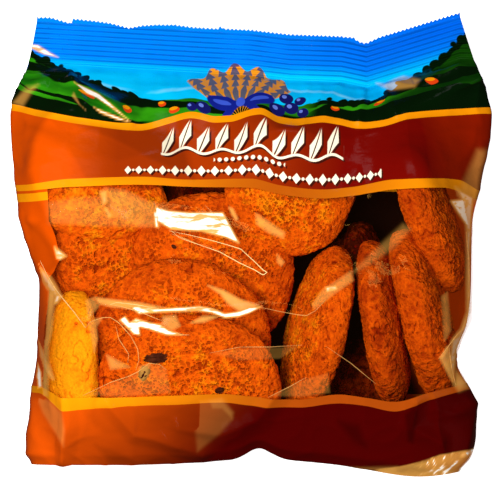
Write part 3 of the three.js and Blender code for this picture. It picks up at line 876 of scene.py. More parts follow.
def fields(paint, across, up, drift, hill, aside, settings):
    """Fields with dark furrows, darker at the foot and to the right, and round bales on them."""
    furrows = paint.math("SINE", (up - hill * 0.5) * 0.5 + across * 0.05 + 4.0 * drift)
    foot = paint.below(up, 53 + 0.0006 * across * across + 5 * (drift - 0.5)
                       + 6 * paint.above(across, 24, 8), 0.35) * aside
    shade = paint.most(paint.above(furrows, 0.62, 0.12), foot, paint.above(across, 55, 12) * 0.85)
    tint = paint.mix(paint.above(drift, 0.5, 0.14), settings.meadow, TINTS["far_field"])
    tint = paint.mix(shade, tint, settings.wood)
    for x, y, size in BALES:
        bale = spot(paint, across, up, (x, y), (1.9 * size, 1.1 * size))
        tint = paint.mix(bale, tint, TINTS["bale"])
        top = spot(paint, across, up, (x - 0.2, y + 0.6 * size), (1.5 * size, 0.6 * size))
        tint = paint.mix(top, tint, settings.gold)
    return tint


def tree_tops(paint, across, up):
    """How far an edge of round tree tops stands out at each place, in millimetres."""
    flat = paint.node("ShaderNodeCombineXYZ", None, {"X": across, "Y": up})
    away = paint.cells(flat, 4.0, {"voronoi_dimensions": "2D"})
    return paint.most(1 - away * away * 2.2, 0.3) * 2.4


def landscape(paint, across, up, settings):
    """Sky over fields and woods that rise to both sides."""
    drift = paint.noise(paint.node("ShaderNodeCombineXYZ", None, {"X": across * 0.3, "Y": up}), 9, 3)
    rise = 19 + 5 * paint.above(across, 0, 10)
    hill = 60 + rise * (abs(across) / 92) ** 2.2 + 2.4 * (drift - 0.5)
    aside = paint.above(abs(across + 10), 33, 4)
    crowns = tree_tops(paint, across, up)
    woods = paint.above(up, hill - 3.6 + crowns * 0.5, 0.3) * aside
    view = paint.mix(woods, fields(paint, across, up, drift, hill, aside, settings), settings.wood)
    return paint.mix(paint.above(up, hill - 1 + crowns * aside, 0.25), view,
                     sky(paint, across, up, drift, settings))


def oat_sheaf(paint, across, up, view):
    """A fan of oat stalks tied with a blue bow, with round berries beside it."""
    x, y = across + 4.0, up - 50.5
    reach = (x * x + y * y) ** 0.5
    turn = paint.math("ARCTAN2", x, y)
    fan = paint.below(abs(turn), 0.85, 0.02) * paint.below(
        reach + 1.6 * paint.math("SINE", turn * 17), 27, 0.3)
    stalk = abs(paint.math("FRACT", turn * 4.6 + 0.5) - 0.5)
    grain = abs(paint.math("FRACT", reach * 0.3 - stalk * 1.6) - 0.5)
    heads = paint.below(stalk * 1.9 + grain * 1.1, 0.74, 0.08) * paint.above(reach, 14, 0.4)
    straw = paint.below(stalk, 0.12, 0.04)
    view = paint.mix(fan * paint.above(reach, 5, 0.4) * 0.85, view, TINTS["husk"])
    view = paint.mix(fan * paint.most(heads, straw), view, TINTS["oats"])
    for tint, ovals in BOW.items():
        view = paint.mix(paint.most(*(spot(paint, across, up, *oval) for oval in ovals)), view,
                         TINTS[tint])
    for x, y, radius in BERRIES:
        view = paint.mix(spot(paint, across, up, (x, y), (radius, radius)), view, TINTS["berry"])
        shine = spot(paint, across, up, (x - 0.8, y + 0.9), (radius / 3, radius / 3))
        view = paint.mix(shine, view, TINTS["berry_shine"])
    return view


def garland(paint, across, up):
    """A row of oat leaves leaning in turn to either side of a wavy stem, over a line: 1 on the marks."""
    pitch, middle, half_height, half_width, half_row = 7.4, 43.0, 6.6, 2.45, 37
    stem = paint.math("SINE", across * (math.pi / pitch)) * 1.1
    level = up - middle - stem
    lean = repeated(paint, across, pitch) - level * 0.34
    body = half_width * (1 - abs(level) / half_height)
    leaf = paint.below(abs(lean) - body, 0, 0.22)
    vein = paint.above(abs(lean), 0.28, 0.12)
    line = paint.below(abs(level + 5.2), 0.5, 0.15)
    ends = paint.below(abs(across - 1.0), half_row, 0.4)
    return paint.most(leaf * vein * paint.below(abs(level), 6.4, 0.2), line) * ends


def dots(paint, across, up):
    """A short row of round dots."""
    pitch, middle, radius, half_row = 2.6, 34.4, 0.8, 14
    near = repeated(paint, across, pitch)
    away = (near * near + (up - middle) * (up - middle)) ** 0.5
    return paint.below(away, radius, 0.15) * paint.below(abs(across), half_row, 0.2)


def lozenges(paint, across, up):
    """A row of small lozenges with dots between."""
    pitch, middle, half_height, radius, half_row = 5.4, 29.6, 2.1, 0.6, 55
    near = abs(repeated(paint, across, pitch))
    off = abs(up - middle)
    lozenge = paint.below(near * 1.2 + off, half_height, 0.15)
    dot = paint.below(((pitch / 2 - near) ** 2 + off * off) ** 0.5, radius, 0.15)
    return paint.most(lozenge, dot) * paint.below(abs(across - 2.0), half_row, 0.3)


def upper_brown(paint, slant, settings):
    """The upper band's brown: bright at its left end, dark at its right, partly in the print and partly as
    painted shade of light that falls off to the right.
    """
    edge, middle, end = settings.brown_edge, settings.brown, settings.brown_dark
    return paint.node("ShaderNodeValToRGB", {"stops": (
        (0.03, edge), (0.2, middle), (0.46, middle), (0.68, end), (0.93, end),
        (1, TINTS["brown_corner"]))}, {"Fac": slant / 200 + 0.5})


def lower_brown(paint, up, slant, settings):
    """The lower band's brown, which darkens to the right and down, partly in the print and partly as
    painted shade.
    """
    return paint.mix(paint.above(slant - (up + 78), -47, 46), settings.lower, settings.lower_dark)


def gold(paint, up, slant, settings):
    """The stripes' gold: dull to the right on the lower two, partly as painted shade, and bright again at
    the middle one's end.
    """
    dull = paint.above(slant, -30, 60) * paint.below(up, 40)
    dull = dull * (1 - paint.above(up, 0) * paint.above(slant, 45, 45) * 0.8)
    return paint.mix(dull, settings.gold, settings.gold_dark)


def marked_band(paint, across, up, band, settings):
    """The upper band with its three rows of cream marks, each with a dark edge below and to the right."""
    for right, rise, tint in ((0.9, -0.8, settings.shadow), (0, 0, settings.cream)):
        a, u = across - right, up - rise
        marks = paint.most(garland(paint, a, u), dots(paint, a, u), lozenges(paint, a, u))
        band = paint.mix(marks, band, tint)
    return band


def painted_crimp_shade(paint, place, up):
    """Painted shade between the seal's crimps: how dark the print is made there, patchy in places."""
    ribs = paint.above(paint.math("SINE", (up - FOOT) * (2 * math.pi * CRIMPS / SEAL_HEIGHT)), 0.1, 0.7)
    patchy = paint.above(paint.noise(place, 0.025, 2), 0.46, 0.12)
    return ribs * paint.above(up, FOOT + 1.5, 0.5) * (0.06 + 0.24 * patchy)


def printed_film_material(settings):
    """Glossy film printed in fields of colour and simple shapes, with painted glare where it is creased,
    and painted shade on some facets and between the seal's crimps.
    """
    paint = Paint("printed_film")
    across, up = paint.print_place()
    place = paint.object_place()
    ink = paint.noise(place, 0.05, 2)
    slant = across + (ink - 0.5) * 24
    brown = upper_brown(paint, slant, settings)
    view = oat_sheaf(paint, across, up, landscape(paint, across, up, settings))
    tint = paint.mix(paint.above(up, LOW_STRIPE[1], 0.1), lower_brown(paint, up, slant, settings), brown)
    tint = paint.mix(paint.above(up, MIDDLE_STRIPE[1], 0.1), tint,
                     marked_band(paint, across, up, brown, settings))
    tint = paint.mix(paint.above(up, TOP_STRIPE[1], 0.12), tint, view)
    low, high, end = GOLD_PATCH
    patch = between(paint, up, low, high, 0.12) * paint.below(across, end, 0.3)
    tint = paint.mix(paint.most(gold_stripes(paint, up), patch), tint, gold(paint, up, slant, settings))
    tint = paint.dim(tint, 1 - painted_crimp_shade(paint, place, up))
    # Painted shade where the value is below 0, and painted glare where it is above.
    haze = paint.attribute("haze")
    tint = paint.dim(tint, 1 + paint.least(haze, 0))
    tint = paint.mix(paint.least(haze * 1.05, 1), tint, painted_glare_tint(paint, haze))
    return paint.finished({
        "Base Color": tint, "Roughness": 0.13 + 0.1 * ink, "Specular IOR Level": 0.1,
        "Normal": printed_ripple(paint, place, 0.3)})


def back_film_material(settings):
    """The back's print: painted near black in its middle as the shade behind the cookies, brown at the
    sides, which glow faintly, with the sky and stripes, and a bare cream panel.
    """
    paint = Paint("back_film")
    across, up = paint.print_place()
    place = paint.object_place()
    aside = paint.above(abs(across + 12 * (paint.noise(place, 0.05, 2) - 0.5)), 82, 8)
    # The middle's near black is painted shade behind the cookies.
    brown = paint.mix(aside, TINTS["back"], TINTS["back_side"])
    panel = paint.below(abs(across + 34), 30, 0.3) * paint.below(abs(up + 20), 36, 0.3)
    tint = paint.mix(paint.above(up, TOP_STRIPE[1], 0.2), brown, settings.sky_high)
    tint = paint.mix(panel, tint, settings.cream)
    tint = paint.mix(gold_stripes(paint, up) * (1 - aside), tint, settings.gold)
    return paint.finished({
        "Base Color": tint, "Roughness": 0.3, "Specular IOR Level": 0.1,
        # The sides glow faintly: painted light.
        "Emission Color": paint.dim(tint, aside), "Emission Strength": 0.25,
        "Normal": printed_ripple(paint, place, 0.5)})


def floor_material():
    """A plain pale floor."""
    paint = Paint("pale_floor")
    mottle = paint.noise(paint.object_place(), 0.3, 2)
    return paint.finished({
        "Base Color": paint.mix(mottle, (0.90, 0.90, 0.90, 1), (0.94, 0.94, 0.94, 1)), "Roughness": 0.9,
        "Specular IOR Level": 0.1, "Emission Color": (1, 1, 1, 1), "Emission Strength": 1.0})


# ---------------------------------------------------------------- cookies and raisins

def unit(vector):
    """The vector at length 1."""
    return np.array(vector, float) / np.linalg.norm(vector)


def lying_axes(pitch, roll):
    """A cookie's directions across, along and through, lying flat but for its pitch and roll."""
    normal = unit((math.sin(math.radians(roll)), -math.sin(math.radians(pitch)), 1))
    wide = unit(np.array((1, 0, 0)) - normal[0] * normal)
    return wide, np.cross(normal, wide), normal


def on_edge_axes(lean, turn):
    """A cookie's directions across, along and through, on edge, from its lean and turn."""
    lean, turn = math.radians(lean), math.radians(turn)
    along = np.array((math.sin(lean), math.cos(lean), 0))
    sideways = math.copysign(math.cos(turn), turn)
    normal = unit((along[1] * sideways, -along[0] * sideways, math.sin(abs(turn))))
    return along, np.cross(normal, along), normal


def displace(piece, name, kind, size, strength, middle=0.5, **settings):
    """Pushes the piece's surface in and out by a texture, and applies it."""
    texture = bpy.data.textures.new(name, kind)
    texture.noise_scale = size * MM
    stops = settings.pop("stops", None)
    for key, value in settings.items():
        setattr(texture, key, value)
    if stops:
        texture.use_color_ramp = True
        Paint.set_stops(texture.color_ramp, stops)
    push = piece.modifiers.new(name, "DISPLACE")
    push.texture = texture
    push.texture_coords = "LOCAL"
    push.strength = strength
    push.mid_level = middle
    select_only(piece)
    bpy.ops.object.modifier_apply(modifier=push.name)
    bpy.data.textures.remove(texture)


PALE_CRUMB = 0.5  # how rough a pale cookie is, as a share of a well baked one
CRACK_STOPS = ((0.0, (1, 1, 1, 1)), (0.488, (1, 1, 1, 1)), (0.5, (0, 0, 0, 1)), (0.512, (1, 1, 1, 1)))


def add_cookie(name, at, half_sizes, axes, bake, material, settings, seed):
    """A round cookie with a flat underside, an uneven outline, lumps, crumb and cracks."""
    piece, ball = add_ball(PLAIN if name in PLAIN_COOKIES else FINE)
    ball /= np.linalg.norm(ball, axis=1)[:, None]
    radius = np.hypot(ball[:, 0], ball[:, 1])
    angle = np.arctan2(ball[:, 1], ball[:, 0])
    rng = np.random.default_rng(seed)
    outline = sum(rng.normal(0, 0.016 / math.sqrt(k)) * np.cos(k * angle + rng.uniform(0, 6.28))
                  for k in range(2, 9))
    rim = radius**0.86 * (1 + outline) * 0.985
    across, along = rim * np.cos(angle), rim * np.sin(angle)
    through = np.where(ball[:, 2] > 0, np.abs(ball[:, 2]) ** 0.85, -0.86 * np.abs(ball[:, 2]) ** 0.6)
    long_axis, side_axis, normal = axes
    points = (np.array(at) + across[:, None] * half_sizes[0] * long_axis
              + along[:, None] * half_sizes[1] * side_axis + through[:, None] * half_sizes[2] * normal)
    place_vertices(piece, points * MM)
    crust = smoothstep(radius, 0.99, 0.55) * smoothstep(np.abs(ball[:, 2]), 0.1, 0.5)
    displace(piece, "lumps", "CLOUDS", 14, settings.lumps, noise_depth=1)
    broad = vertices(piece)
    displace(piece, "cracks", "CLOUDS", 15, settings.cracks, middle=1, noise_depth=2, stops=CRACK_STOPS)
    crumb = settings.crumb * (PALE_CRUMB + (1 - PALE_CRUMB) * float(smoothstep(bake, -0.1, 0.4)))
    displace(piece, "crumb", "CLOUDS", 2.4, crumb, noise_depth=2)
    displace(piece, "pits", "VORONOI", 2.2, crumb * 0.4, middle=0.4)
    after = vertices(piece)
    normals = np.empty(len(after) * 3)
    piece.data.vertices.foreach_get("normal", normals)
    fine = np.einsum("ij,ij->i", after - broad, normals.reshape(-1, 3)) / settings.crumb
    relief = np.clip(0.62 + 0.75 * fine, 0, 1)
    set_attribute(piece, "crust", crust)
    set_attribute(piece, "relief", relief)
    set_attribute(piece, "bake", np.full(len(after), bake))
    finish_piece(piece, name + "_cookie", material)


LEVEL_REACH = 110  # the grid of the cookies' heights goes this far from the bag's middle
LEVEL_SPREAD = 3  # how far around each place the film feels the cookies


def cookie_levels():
    """Heights of the cookies over the floor, on a grid of one millimetre, a little smoothed."""
    levels = np.zeros((2 * LEVEL_REACH + 1, 2 * LEVEL_REACH + 1))
    for piece in bpy.data.objects:
        if piece.name.endswith("_cookie"):
            points = vertices(piece) / MM
            column, row = (np.rint(points[:, k]).astype(int) + LEVEL_REACH for k in (0, 1))
            np.maximum.at(levels, (row, column), points[:, 2])
    spans = range(-LEVEL_SPREAD, LEVEL_SPREAD + 1)
    for axis in (0, 1):
        levels = np.max([np.roll(levels, step, axis) for step in spans], axis=0)
    for _ in range(2):
        for axis in (0, 1):
            levels = np.mean([np.roll(levels, step, axis) for step in spans], axis=0)
    return levels


def level_at(levels, x, y):
    """The grid's height at places across and up the bag."""
    across, up = (np.clip(place + LEVEL_REACH, 0, 2 * LEVEL_REACH - 1.001) for place in (x, y))
    i, j = across.astype(int), up.astype(int)
    s, t = across - i, up - j
    low = levels[j, i] * (1 - s) + levels[j, i + 1] * s
    high = levels[j + 1, i] * (1 - s) + levels[j + 1, i + 1] * s
    return low * (1 - t) + high * t


def add_raisins(material):
    """Wrinkled raisins, sunk to their middle in the cookies."""
    levels = cookie_levels()
    pieces = []
    for k, (x, y, length, width, turn) in enumerate(RAISINS):
        piece, ball = add_ball(RAISIN_BALL)
        angle = np.arctan2(ball[:, 1], ball[:, 2])
        folds = 1 + 0.14 * np.sin(5 * angle + 2.2 * ball[:, 0] + k) + 0.07 * np.sin(9 * angle + k)
        size = np.array((length, width, width * 0.8))
        ball = ball * size * folds[:, None]
        cos, sin = math.cos(math.radians(turn)), math.sin(math.radians(turn))
        spun = np.stack((ball[:, 0] * cos - ball[:, 1] * sin, ball[:, 0] * sin + ball[:, 1] * cos,
                         ball[:, 2]), axis=1)
        level = float(level_at(levels, np.array(x), np.array(y)))
        place_vertices(piece, (spun + (x, y, level - 0.3 - width * 0.25)) * MM)
        displace(piece, "wrinkles", "CLOUDS", 1.1, 0.5 * width * MM, noise_depth=2)
        pieces.append(piece)
    join(pieces)
    finish_piece(pieces[0], "raisins", material)


# ---------------------------------------------------------------- the film

def line_height(k, x):
    """Where the k-th line of the print runs up the bag, over places across it."""
    low_x, low, high = STRIPE_LOW
    mid_x, mid_low, mid_high = STRIPE_MIDDLE
    top_x, top = STRIPE_TOP
    edge = waved(x, BASE)
    if k == 0:
        return edge
    if k == 1:
        return edge + HEM + np.clip((x - FOOT_START) * FOOT_SLOPE, 0, FOOT_HEIGHT)
    if k in (2, 3):
        return smooth_curve(x, low_x, low if k == 2 else high)
    if k in (4, 5):
        return smooth_curve(x, mid_x, mid_low if k == 4 else mid_high)
    if k in (6, 7):
        return smooth_curve(x, top_x, top) + (STRIPE_TOP_HALF if k == 7 else -STRIPE_TOP_HALF)
    return waved(x, FOOT)


def upper_columns():
    """Columns of the upper film, from the middle of the left side (-1) to that of the right (1)."""
    return np.concatenate((np.linspace(-1, SIDE_COLUMN, COLUMNS_LEFT + 1)[:-1],
                           np.linspace(SIDE_COLUMN, 1, COLUMNS_REST + 1)))


def sheet_place(column):
    """Places (u, w) on the unit square, from places along the upper film."""
    beyond = np.maximum(np.abs(column) - (1 - SIDE_SHARE), 0)
    return np.clip(column / (1 - SIDE_SHARE), -1, 1), 1 - beyond / SIDE_SHARE


def print_across(u, w):
    """Places across the flat print: the front or back, with a side folded out at each end."""
    return u * FRONT_PRINT + (1 - np.abs(w)) * SIDE_PRINT * np.sign(u)


HALF_WIDTH, SETTLE_PASSES = 92, 8  # a first guess at half the bag's width, and how often it is mended


def settled(column):
    """Places of a film's columns, on the rows that follow the print's lines: x, y and z."""
    u, w = sheet_place(column)
    x = u * HALF_WIDTH
    for _ in range(SETTLE_PASSES):
        height = np.empty_like(x)
        start = 0
        for k, rows in enumerate(BAND_ROWS):
            share = np.linspace(0, 1, rows + 1)[:, None]
            band = x[start:start + rows + 1]
            height[start:start + rows + 1] = (line_height(k, band) * (1 - share)
                                              + line_height(k + 1, band) * share)
            start += rows
        y = unwaved(x, height)
        x, z = section_point(u, w, y)
    return x, y, z


def laid_out_film():
    """The upper film before it is drawn tight: points, and places on the flat print."""
    up = np.concatenate([np.linspace(PRINT_LINES[k], PRINT_LINES[k + 1], rows + 1)[(k > 0):]
                         for k, rows in enumerate(BAND_ROWS)])
    column = upper_columns() + np.zeros((len(up), 1))
    x, _, _ = settled(column)
    side_end = [np.interp(place, xs, columns)
                for place, xs, columns in zip(np.interp(up, *SIDE_EDGE), x, column)]
    tent = np.interp(column, (-1, SIDE_COLUMN, DRAWN_COLUMN), (0, 1, 0))
    column += (np.array(side_end) - SIDE_COLUMN)[:, None] * tent
    across = print_across(*sheet_place(column))
    on_print = np.stack((across, np.broadcast_to(up[:, None], across.shape)), axis=-1)
    return np.stack(settled(column), axis=-1), on_print


def drawn_tight(points, held, passes):
    """Lets the film's heights settle: on what holds it, and straight in between."""
    z = points[..., 2]
    for _ in range(passes):
        pull_up = 1 / np.maximum(np.linalg.norm(np.diff(points, axis=0), axis=-1), 1e-6)
        pull_side = 1 / np.maximum(np.linalg.norm(np.diff(points, axis=1), axis=-1), 1e-6)
        above, below = pull_up[1:, 1:-1], pull_up[:-1, 1:-1]
        right, left = pull_side[1:-1, 1:], pull_side[1:-1, :-1]
        level = (above * z[2:, 1:-1] + below * z[:-2, 1:-1] + right * z[1:-1, 2:]
                 + left * z[1:-1, :-2]) / (above + below + right + left)
        z[1:-1, 1:-1] = np.maximum(held[1:-1, 1:-1], level)


def finer(coarse, step):
    """A grid's values with step cells for each one."""
    for axis in (0, 1):
        place = np.arange((coarse.shape[axis] - 1) * step + 1) / step
        i = np.minimum(place.astype(int), coarse.shape[axis] - 2)
        share = np.expand_dims(place - i, 1 - axis)
        coarse = (np.take(coarse, i, axis) * (1 - share) + np.take(coarse, i + 1, axis) * share)
    return coarse


def path_distance(x, y, points):
    """Distances to a path of straight pieces, and whether each place lies left of the nearest."""
    nearest = np.full(x.shape, 1e9)
    on_left = np.zeros(x.shape, bool)
    for (ax, ay), (bx, by) in zip(points, points[1:]):
        dx, dy = bx - ax, by - ay
        along = np.clip(((x - ax) * dx + (y - ay) * dy) / (dx * dx + dy * dy), 0, 1)
        away = np.hypot(x - ax - along * dx, y - ay - along * dy)
        closer = away < nearest
        nearest = np.where(closer, away, nearest)
        on_left = np.where(closer, dx * (y - ay) - dy * (x - ax) > 0, on_left)
    return nearest, on_left


def soft_shape(x, y, corners, soft):
    """1 inside a shape of straight edges, 0 outside, soft across them."""
    inside = np.zeros(x.shape, bool)
    closed = (*corners, corners[0])
    for (ax, ay), (bx, by) in zip(closed, closed[1:]):
        if ay != by:
            crossed = (ay > y) != (by > y)
            inside ^= crossed & (x < ax + (y - ay) / (by - ay) * (bx - ax))
    away, _ = path_distance(x, y, closed)
    return smoothstep(np.where(inside, away, -away), -soft, soft)


def fold_heights(x, y):
    """Heights of the creases over places across and up the bag."""
    heights = np.zeros_like(x)
    for height, left_width, right_width, points in CREASES:
        away, on_left = path_distance(x, y, points)
        width = np.where(on_left, left_width, right_width)
        heights += height * np.maximum(0, 1 - away / width) ** 1.3
    return heights


def painted_glare_and_shade_at(x, y):
    """How pale the film's painted glare is, up to 1, over places across and up the bag: less than 0 is
    painted shade.
    """
    haze = np.zeros_like(x)
    for strength, soft, corners in PAINTED_GLARE_AND_SHADE:
        shape = strength * soft_shape(x, y, corners, soft)
        haze = np.where(np.abs(shape) > np.abs(haze), shape, haze)
    # Painted glare all over the clear foot, with painted sparkles near its right end.
    foot = smoothstep(line_height(1, x) - y, -0.1, 0.1) * smoothstep(x, FOOT_START, FOOT_START + 4)
    painted_sparkles = 0.4 + 1.2 * ridges(x * 0.8, y, 2.6, 15) ** 14 * smoothstep(x, 68, 76)
    painted_sparkle = foot * np.minimum(painted_sparkles, 1)
    return haze + painted_sparkle * (1 - haze)


PLEATS_TOP = 74  # the pleats under the seal lean sideways below this height
FAN_TOP, FAN_REACH = 84, 16  # where folds fan out at the notch, and how far they reach


def wrinkle_heights(x, y, height):
    """Heights of the small wrinkles: all over, pleats under the seal, and a fan at the notch."""
    wide = ridges(x, y * 0.6, 14, 3) ** 3 * 1.1 + ridges(x * 0.7 + y * 0.5, y - x * 0.3, 9, 5) ** 4 * 0.7
    pleats = ridges(x + 0.12 * (PLEATS_TOP - y), y * 0.12, 5.5, 7) ** 2
    pleats = pleats * smoothstep(y, 48, 66) * 2.4
    away = np.hypot(x - TOP_NOTCH, y - FAN_TOP)
    turn = np.arctan2(x - TOP_NOTCH, FAN_TOP - y)
    fan = ridges(turn * 9, away * 0.03, 1.0, 9) ** 2 * np.exp(-away / FAN_REACH) * 3
    loose = 1 + 1.2 * smoothstep(np.abs(x), 70, 92) + 0.8 * smoothstep(-y, 60, 85)
    return height / MM * (wide * loose + pleats + fan)


def upper_film(settings):
    """The upper film drawn over the cookies and creased: points, and places on the flat print."""
    points, on_print = laid_out_film()
    x, y = points[..., 0], points[..., 1]
    body = smoothstep(y, BASE, BASE + BOTTOM_ROUND) * (1 - smoothstep(y, SHOULDER_Y, FOOT))
    cookies = level_at(cookie_levels(), x, waved(x, y)) + FILM_GAP
    held = points[..., 2] + (np.maximum(points[..., 2], cookies) - points[..., 2]) * body
    rough = points[::COARSE, ::COARSE].copy()
    drawn_tight(rough, held[::COARSE, ::COARSE], ROUGH_PASSES)
    points[..., 2] = np.maximum(held, finer(rough[..., 2], COARSE))
    drawn_tight(points, held, FINE_PASSES)
    points[..., 2] = np.maximum(points[..., 2] + seal_curl(x, y), 0)
    points[..., 1] = waved(x, y)
    normal = np.cross(np.gradient(points, axis=1), np.gradient(points, axis=0))
    normal /= np.maximum(np.linalg.norm(normal, axis=-1, keepdims=True), 1e-9)
    fade = np.ones(x.shape)
    for axis in (0, 1):
        place = np.arange(x.shape[axis], dtype=float)
        edge = smoothstep(np.minimum(place, x.shape[axis] - 1 - place), 0, EDGE_FADE)
        fade = fade * np.expand_dims(edge, 1 - axis)
    push = fold_heights(x, points[..., 1]) + wrinkle_heights(x, points[..., 1], settings.wrinkle)
    for _ in range(2):
        push[1:-1, 1:-1] = (push[1:-1, 1:-1] * 2 + push[2:, 1:-1] + push[:-2, 1:-1] + push[1:-1, 2:]
                            + push[1:-1, :-2]) / 6
    return points + normal * (push * fade)[..., None], on_print


def add_front_film(settings):
    """The upper film, cut along the print's lines into printed and clear sheets."""
    points, on_print = upper_film(settings)
    edges = np.concatenate(([0], np.cumsum(BAND_ROWS)))
    foot, low_top, middle, seal = edges[1], edges[3], edges[4], edges[-1]
    printed, clear = printed_film_material(settings), clear_film_material()
    end = points.shape[1] - 1
    sheets = {
        "clear_foot": (0, foot, 0, end, clear, "clear_film"),
        "printed_lower_band": (foot, low_top, 0, end, printed, "printed_film"),
        "printed_side": (low_top, middle, 0, COLUMNS_LEFT, printed, "printed_film"),
        "clear_window": (low_top, middle, COLUMNS_LEFT, end, clear, "clear_film"),
        "printed_upper_band": (middle, seal, 0, end, printed, "printed_film"),
    }
    for name, (row, last_row, column, last_column, material, slot) in sheets.items():
        part = (slice(row, last_row + 1), slice(column, last_column + 1))
        film_sheet(name, points[part], on_print[part], material)
    add_fold_lines(points)


def add_fold_lines(film):
    """Sharp folds that stand up from the clear film, as thin tapering ridges."""
    place = film.reshape(-1, 3)
    material = fold_material()
    pieces = []
    for bright, line in FOLD_LINES:
        curve = bpy.data.curves.new("film_fold", "CURVE")
        curve.dimensions = "3D"
        curve.bevel_depth = FOLD_RADIUS * MM
        curve.bevel_resolution = 1
        corners = np.array(line, float)
        lengths = np.concatenate(([0], np.cumsum(np.linalg.norm(np.diff(corners, axis=0), axis=1))))
        steps = np.linspace(0, lengths[-1], max(int(lengths[-1] / FOLD_STEP), 4))
        path = np.stack([np.interp(steps, lengths, corners[:, k]) for k in (0, 1)], axis=1)
        spline = curve.splines.new("POLY")
        spline.points.add(len(path) - 1)
        for k, (x, y) in enumerate(path):
            nearest = place[np.argmin((place[:, 0] - x) ** 2 + (place[:, 1] - y) ** 2)]
            spline.points[k].co = (x * MM, y * MM, (nearest[2] + FOLD_RADIUS / 2) * MM, 1)
            spline.points[k].radius = 0.25 + math.sin(math.pi * (k + 0.5) / len(path)) * 0.75
        piece = bpy.data.objects.new("film_fold", curve)
        bpy.context.collection.objects.link(piece)
        select_only(piece)
        bpy.ops.object.convert(target="MESH")
        piece = bpy.context.object
        set_attribute(piece, "bright", np.full(len(piece.data.vertices), bright))
        pieces.append(piece)
    join(pieces)
    finish_piece(pieces[0], "film_folds", material)


TOOTH_PITCH, TOOTH_HEIGHT = 1.7, 0.8  # of the seal's saw-toothed cut edge
# The cut edge of the seal, worn and folded over in places: places across, and how far it stands out.
WORN_EDGE = (
    (-89, -84, -77, -75.4, -74.6, -65, -59, -51.3, -46, -40, -32, -25, -14, -12.9, -11.3, 16, 39, 43,
     44.6, 46.7, 54, 85),
    (1.3, 1.5, -0.2, -0.4, 1.5, 1.1, 0.6, -1.0, 0.3, 1.1, 1.5, 0.9, 0.8, 1.9, 1.0, 1.1, 1.1, 1.7,
     0.6, 0.2, 1.4, 1.4),
)
TOOTH_COLUMNS = 4  # of the sheet, for each tooth
SEAL_ROWS = 54  # on either side of the seal


def add_seal(settings):
    """The crimped top seal: up the front and down the back, with a saw-toothed top edge."""
    teeth = round((SECTIONS["right"][-1] - SECTIONS["left"][-1]) / TOOTH_PITCH)
    u = np.linspace(-1, 1, teeth * TOOTH_COLUMNS + 1)
    tooth = np.abs(np.arange(len(u)) / TOOTH_COLUMNS % 1 - 0.5) * 2
    rise = np.concatenate((np.linspace(0, 1, SEAL_ROWS + 1), np.linspace(1, 0, SEAL_ROWS + 1)[1:]))
    side = np.where(np.arange(len(rise)) <= SEAL_ROWS, 1.0, -1.0)
    y = FOOT + rise[:, None] * SEAL_HEIGHT + np.zeros_like(u)
    x, z = section_point(u + 0 * y, side[:, None] + 0 * y, y)
    middle = (section_value("back", y) + section_value("front", y)) / 2
    pressed = 0.12 + 0.88 * (1 - smoothstep(rise[:, None], 0, 0.09))
    ends = np.sqrt(np.maximum(0, 1 - np.abs(u) ** 40))
    top = (rise[:, None] >= 1).astype(float)
    z = middle + (z - middle) * pressed * ends * (1 - top) + seal_curl(x, y) + crimp(y)
    cut = smoothstep(rise[:, None], 0.9, 1) * ((tooth - 1) * TOOTH_HEIGHT + np.interp(x, *WORN_EDGE))
    ripple = ridges(x, y * 0.1, 7, 11) - 0.5
    z = z + ripple * 0.5 * np.minimum(rise[:, None] * 6, 1)
    points = np.stack((x, waved(x, y) + cut, np.maximum(z, 0)), axis=-1)
    bare = np.sign(u) * np.maximum(np.abs(u), 0.35)
    on_print = np.stack((np.where(side[:, None] > 0, u, bare) * FRONT_PRINT, y), axis=-1)
    film_sheet("top_seal", points, on_print, printed_film_material(settings))


# Columns and rows of the sheets of the back and the bottom.
BACK_CELLS, SEAM_CELLS, PANEL_CELLS, FIN_CELLS = (200, 170), (12, 120), (160, 60), (158, 40)
SEAM_HALF, SEAM_LIFT, SEAM_RIB = 6, 0.35, 2.4  # the seam's half width, height over the film and rib pitch


def add_back(settings):
    """The back film, flat where the bag lies on it, with the long seam down its middle."""
    columns, rows = BACK_CELLS
    column = np.linspace(1, -1, columns + 1)
    u, w = sheet_place(column)  # here w runs down the back's half of each side
    y = np.linspace(BASE, FOOT, rows + 1)[:, None] + 0 * u
    x, z = section_point(u + 0 * y, 0 * y - w, y)
    inner = (smoothstep(1 - np.abs(column), 0, 0.12) * smoothstep(y, BASE, BASE + BACK_ROUND)
             * (1 - smoothstep(y, FOOT - BACK_ROUND, FOOT)))
    lift = wrinkle_heights(x, y, settings.wrinkle) * 0.9 * inner
    hollow = 3.5 * ridges(x * 0.5, y, 30, 21) ** 4 * smoothstep(np.abs(x), 30, 80) * inner
    z = np.maximum(np.maximum(z, 0) + (lift + hollow) * smoothstep(z, -3, 6) + seal_curl(x, y), 0)
    points = np.stack((x, waved(x, y), z), axis=-1)
    on_print = np.stack((print_across(u, w) + 0 * y, y), axis=-1)
    film_sheet("back_film", points, on_print, back_film_material(settings))
    add_back_seam(settings)


def add_back_seam(settings):
    """The long fin seam of the back, folded flat against it on the inner side of the film."""
    columns, rows = SEAM_CELLS
    y = np.linspace(BASE + 2, FOOT, rows + 1)[:, None]
    across = np.linspace(-SEAM_HALF, SEAM_HALF, columns + 1)[None, :]
    x = across + 0 * y + 0.5 * np.sin(y / 17)
    _, back = section_point(0 * x, -1 + 0 * x, y + 0 * x)
    ribs = 0.12 * np.cos(y * 2 * np.pi / SEAM_RIB)
    z = np.maximum(back, 0) + seal_curl(x, y + 0 * x) + SEAM_LIFT + ribs + 0.05 * np.sin(x)
    points = np.stack((x, waved(x, y + 0 * x), z), axis=-1)
    on_print = np.stack((x, y + 0 * x), axis=-1)
    film_sheet("back_seam", points, on_print, back_film_material(settings))


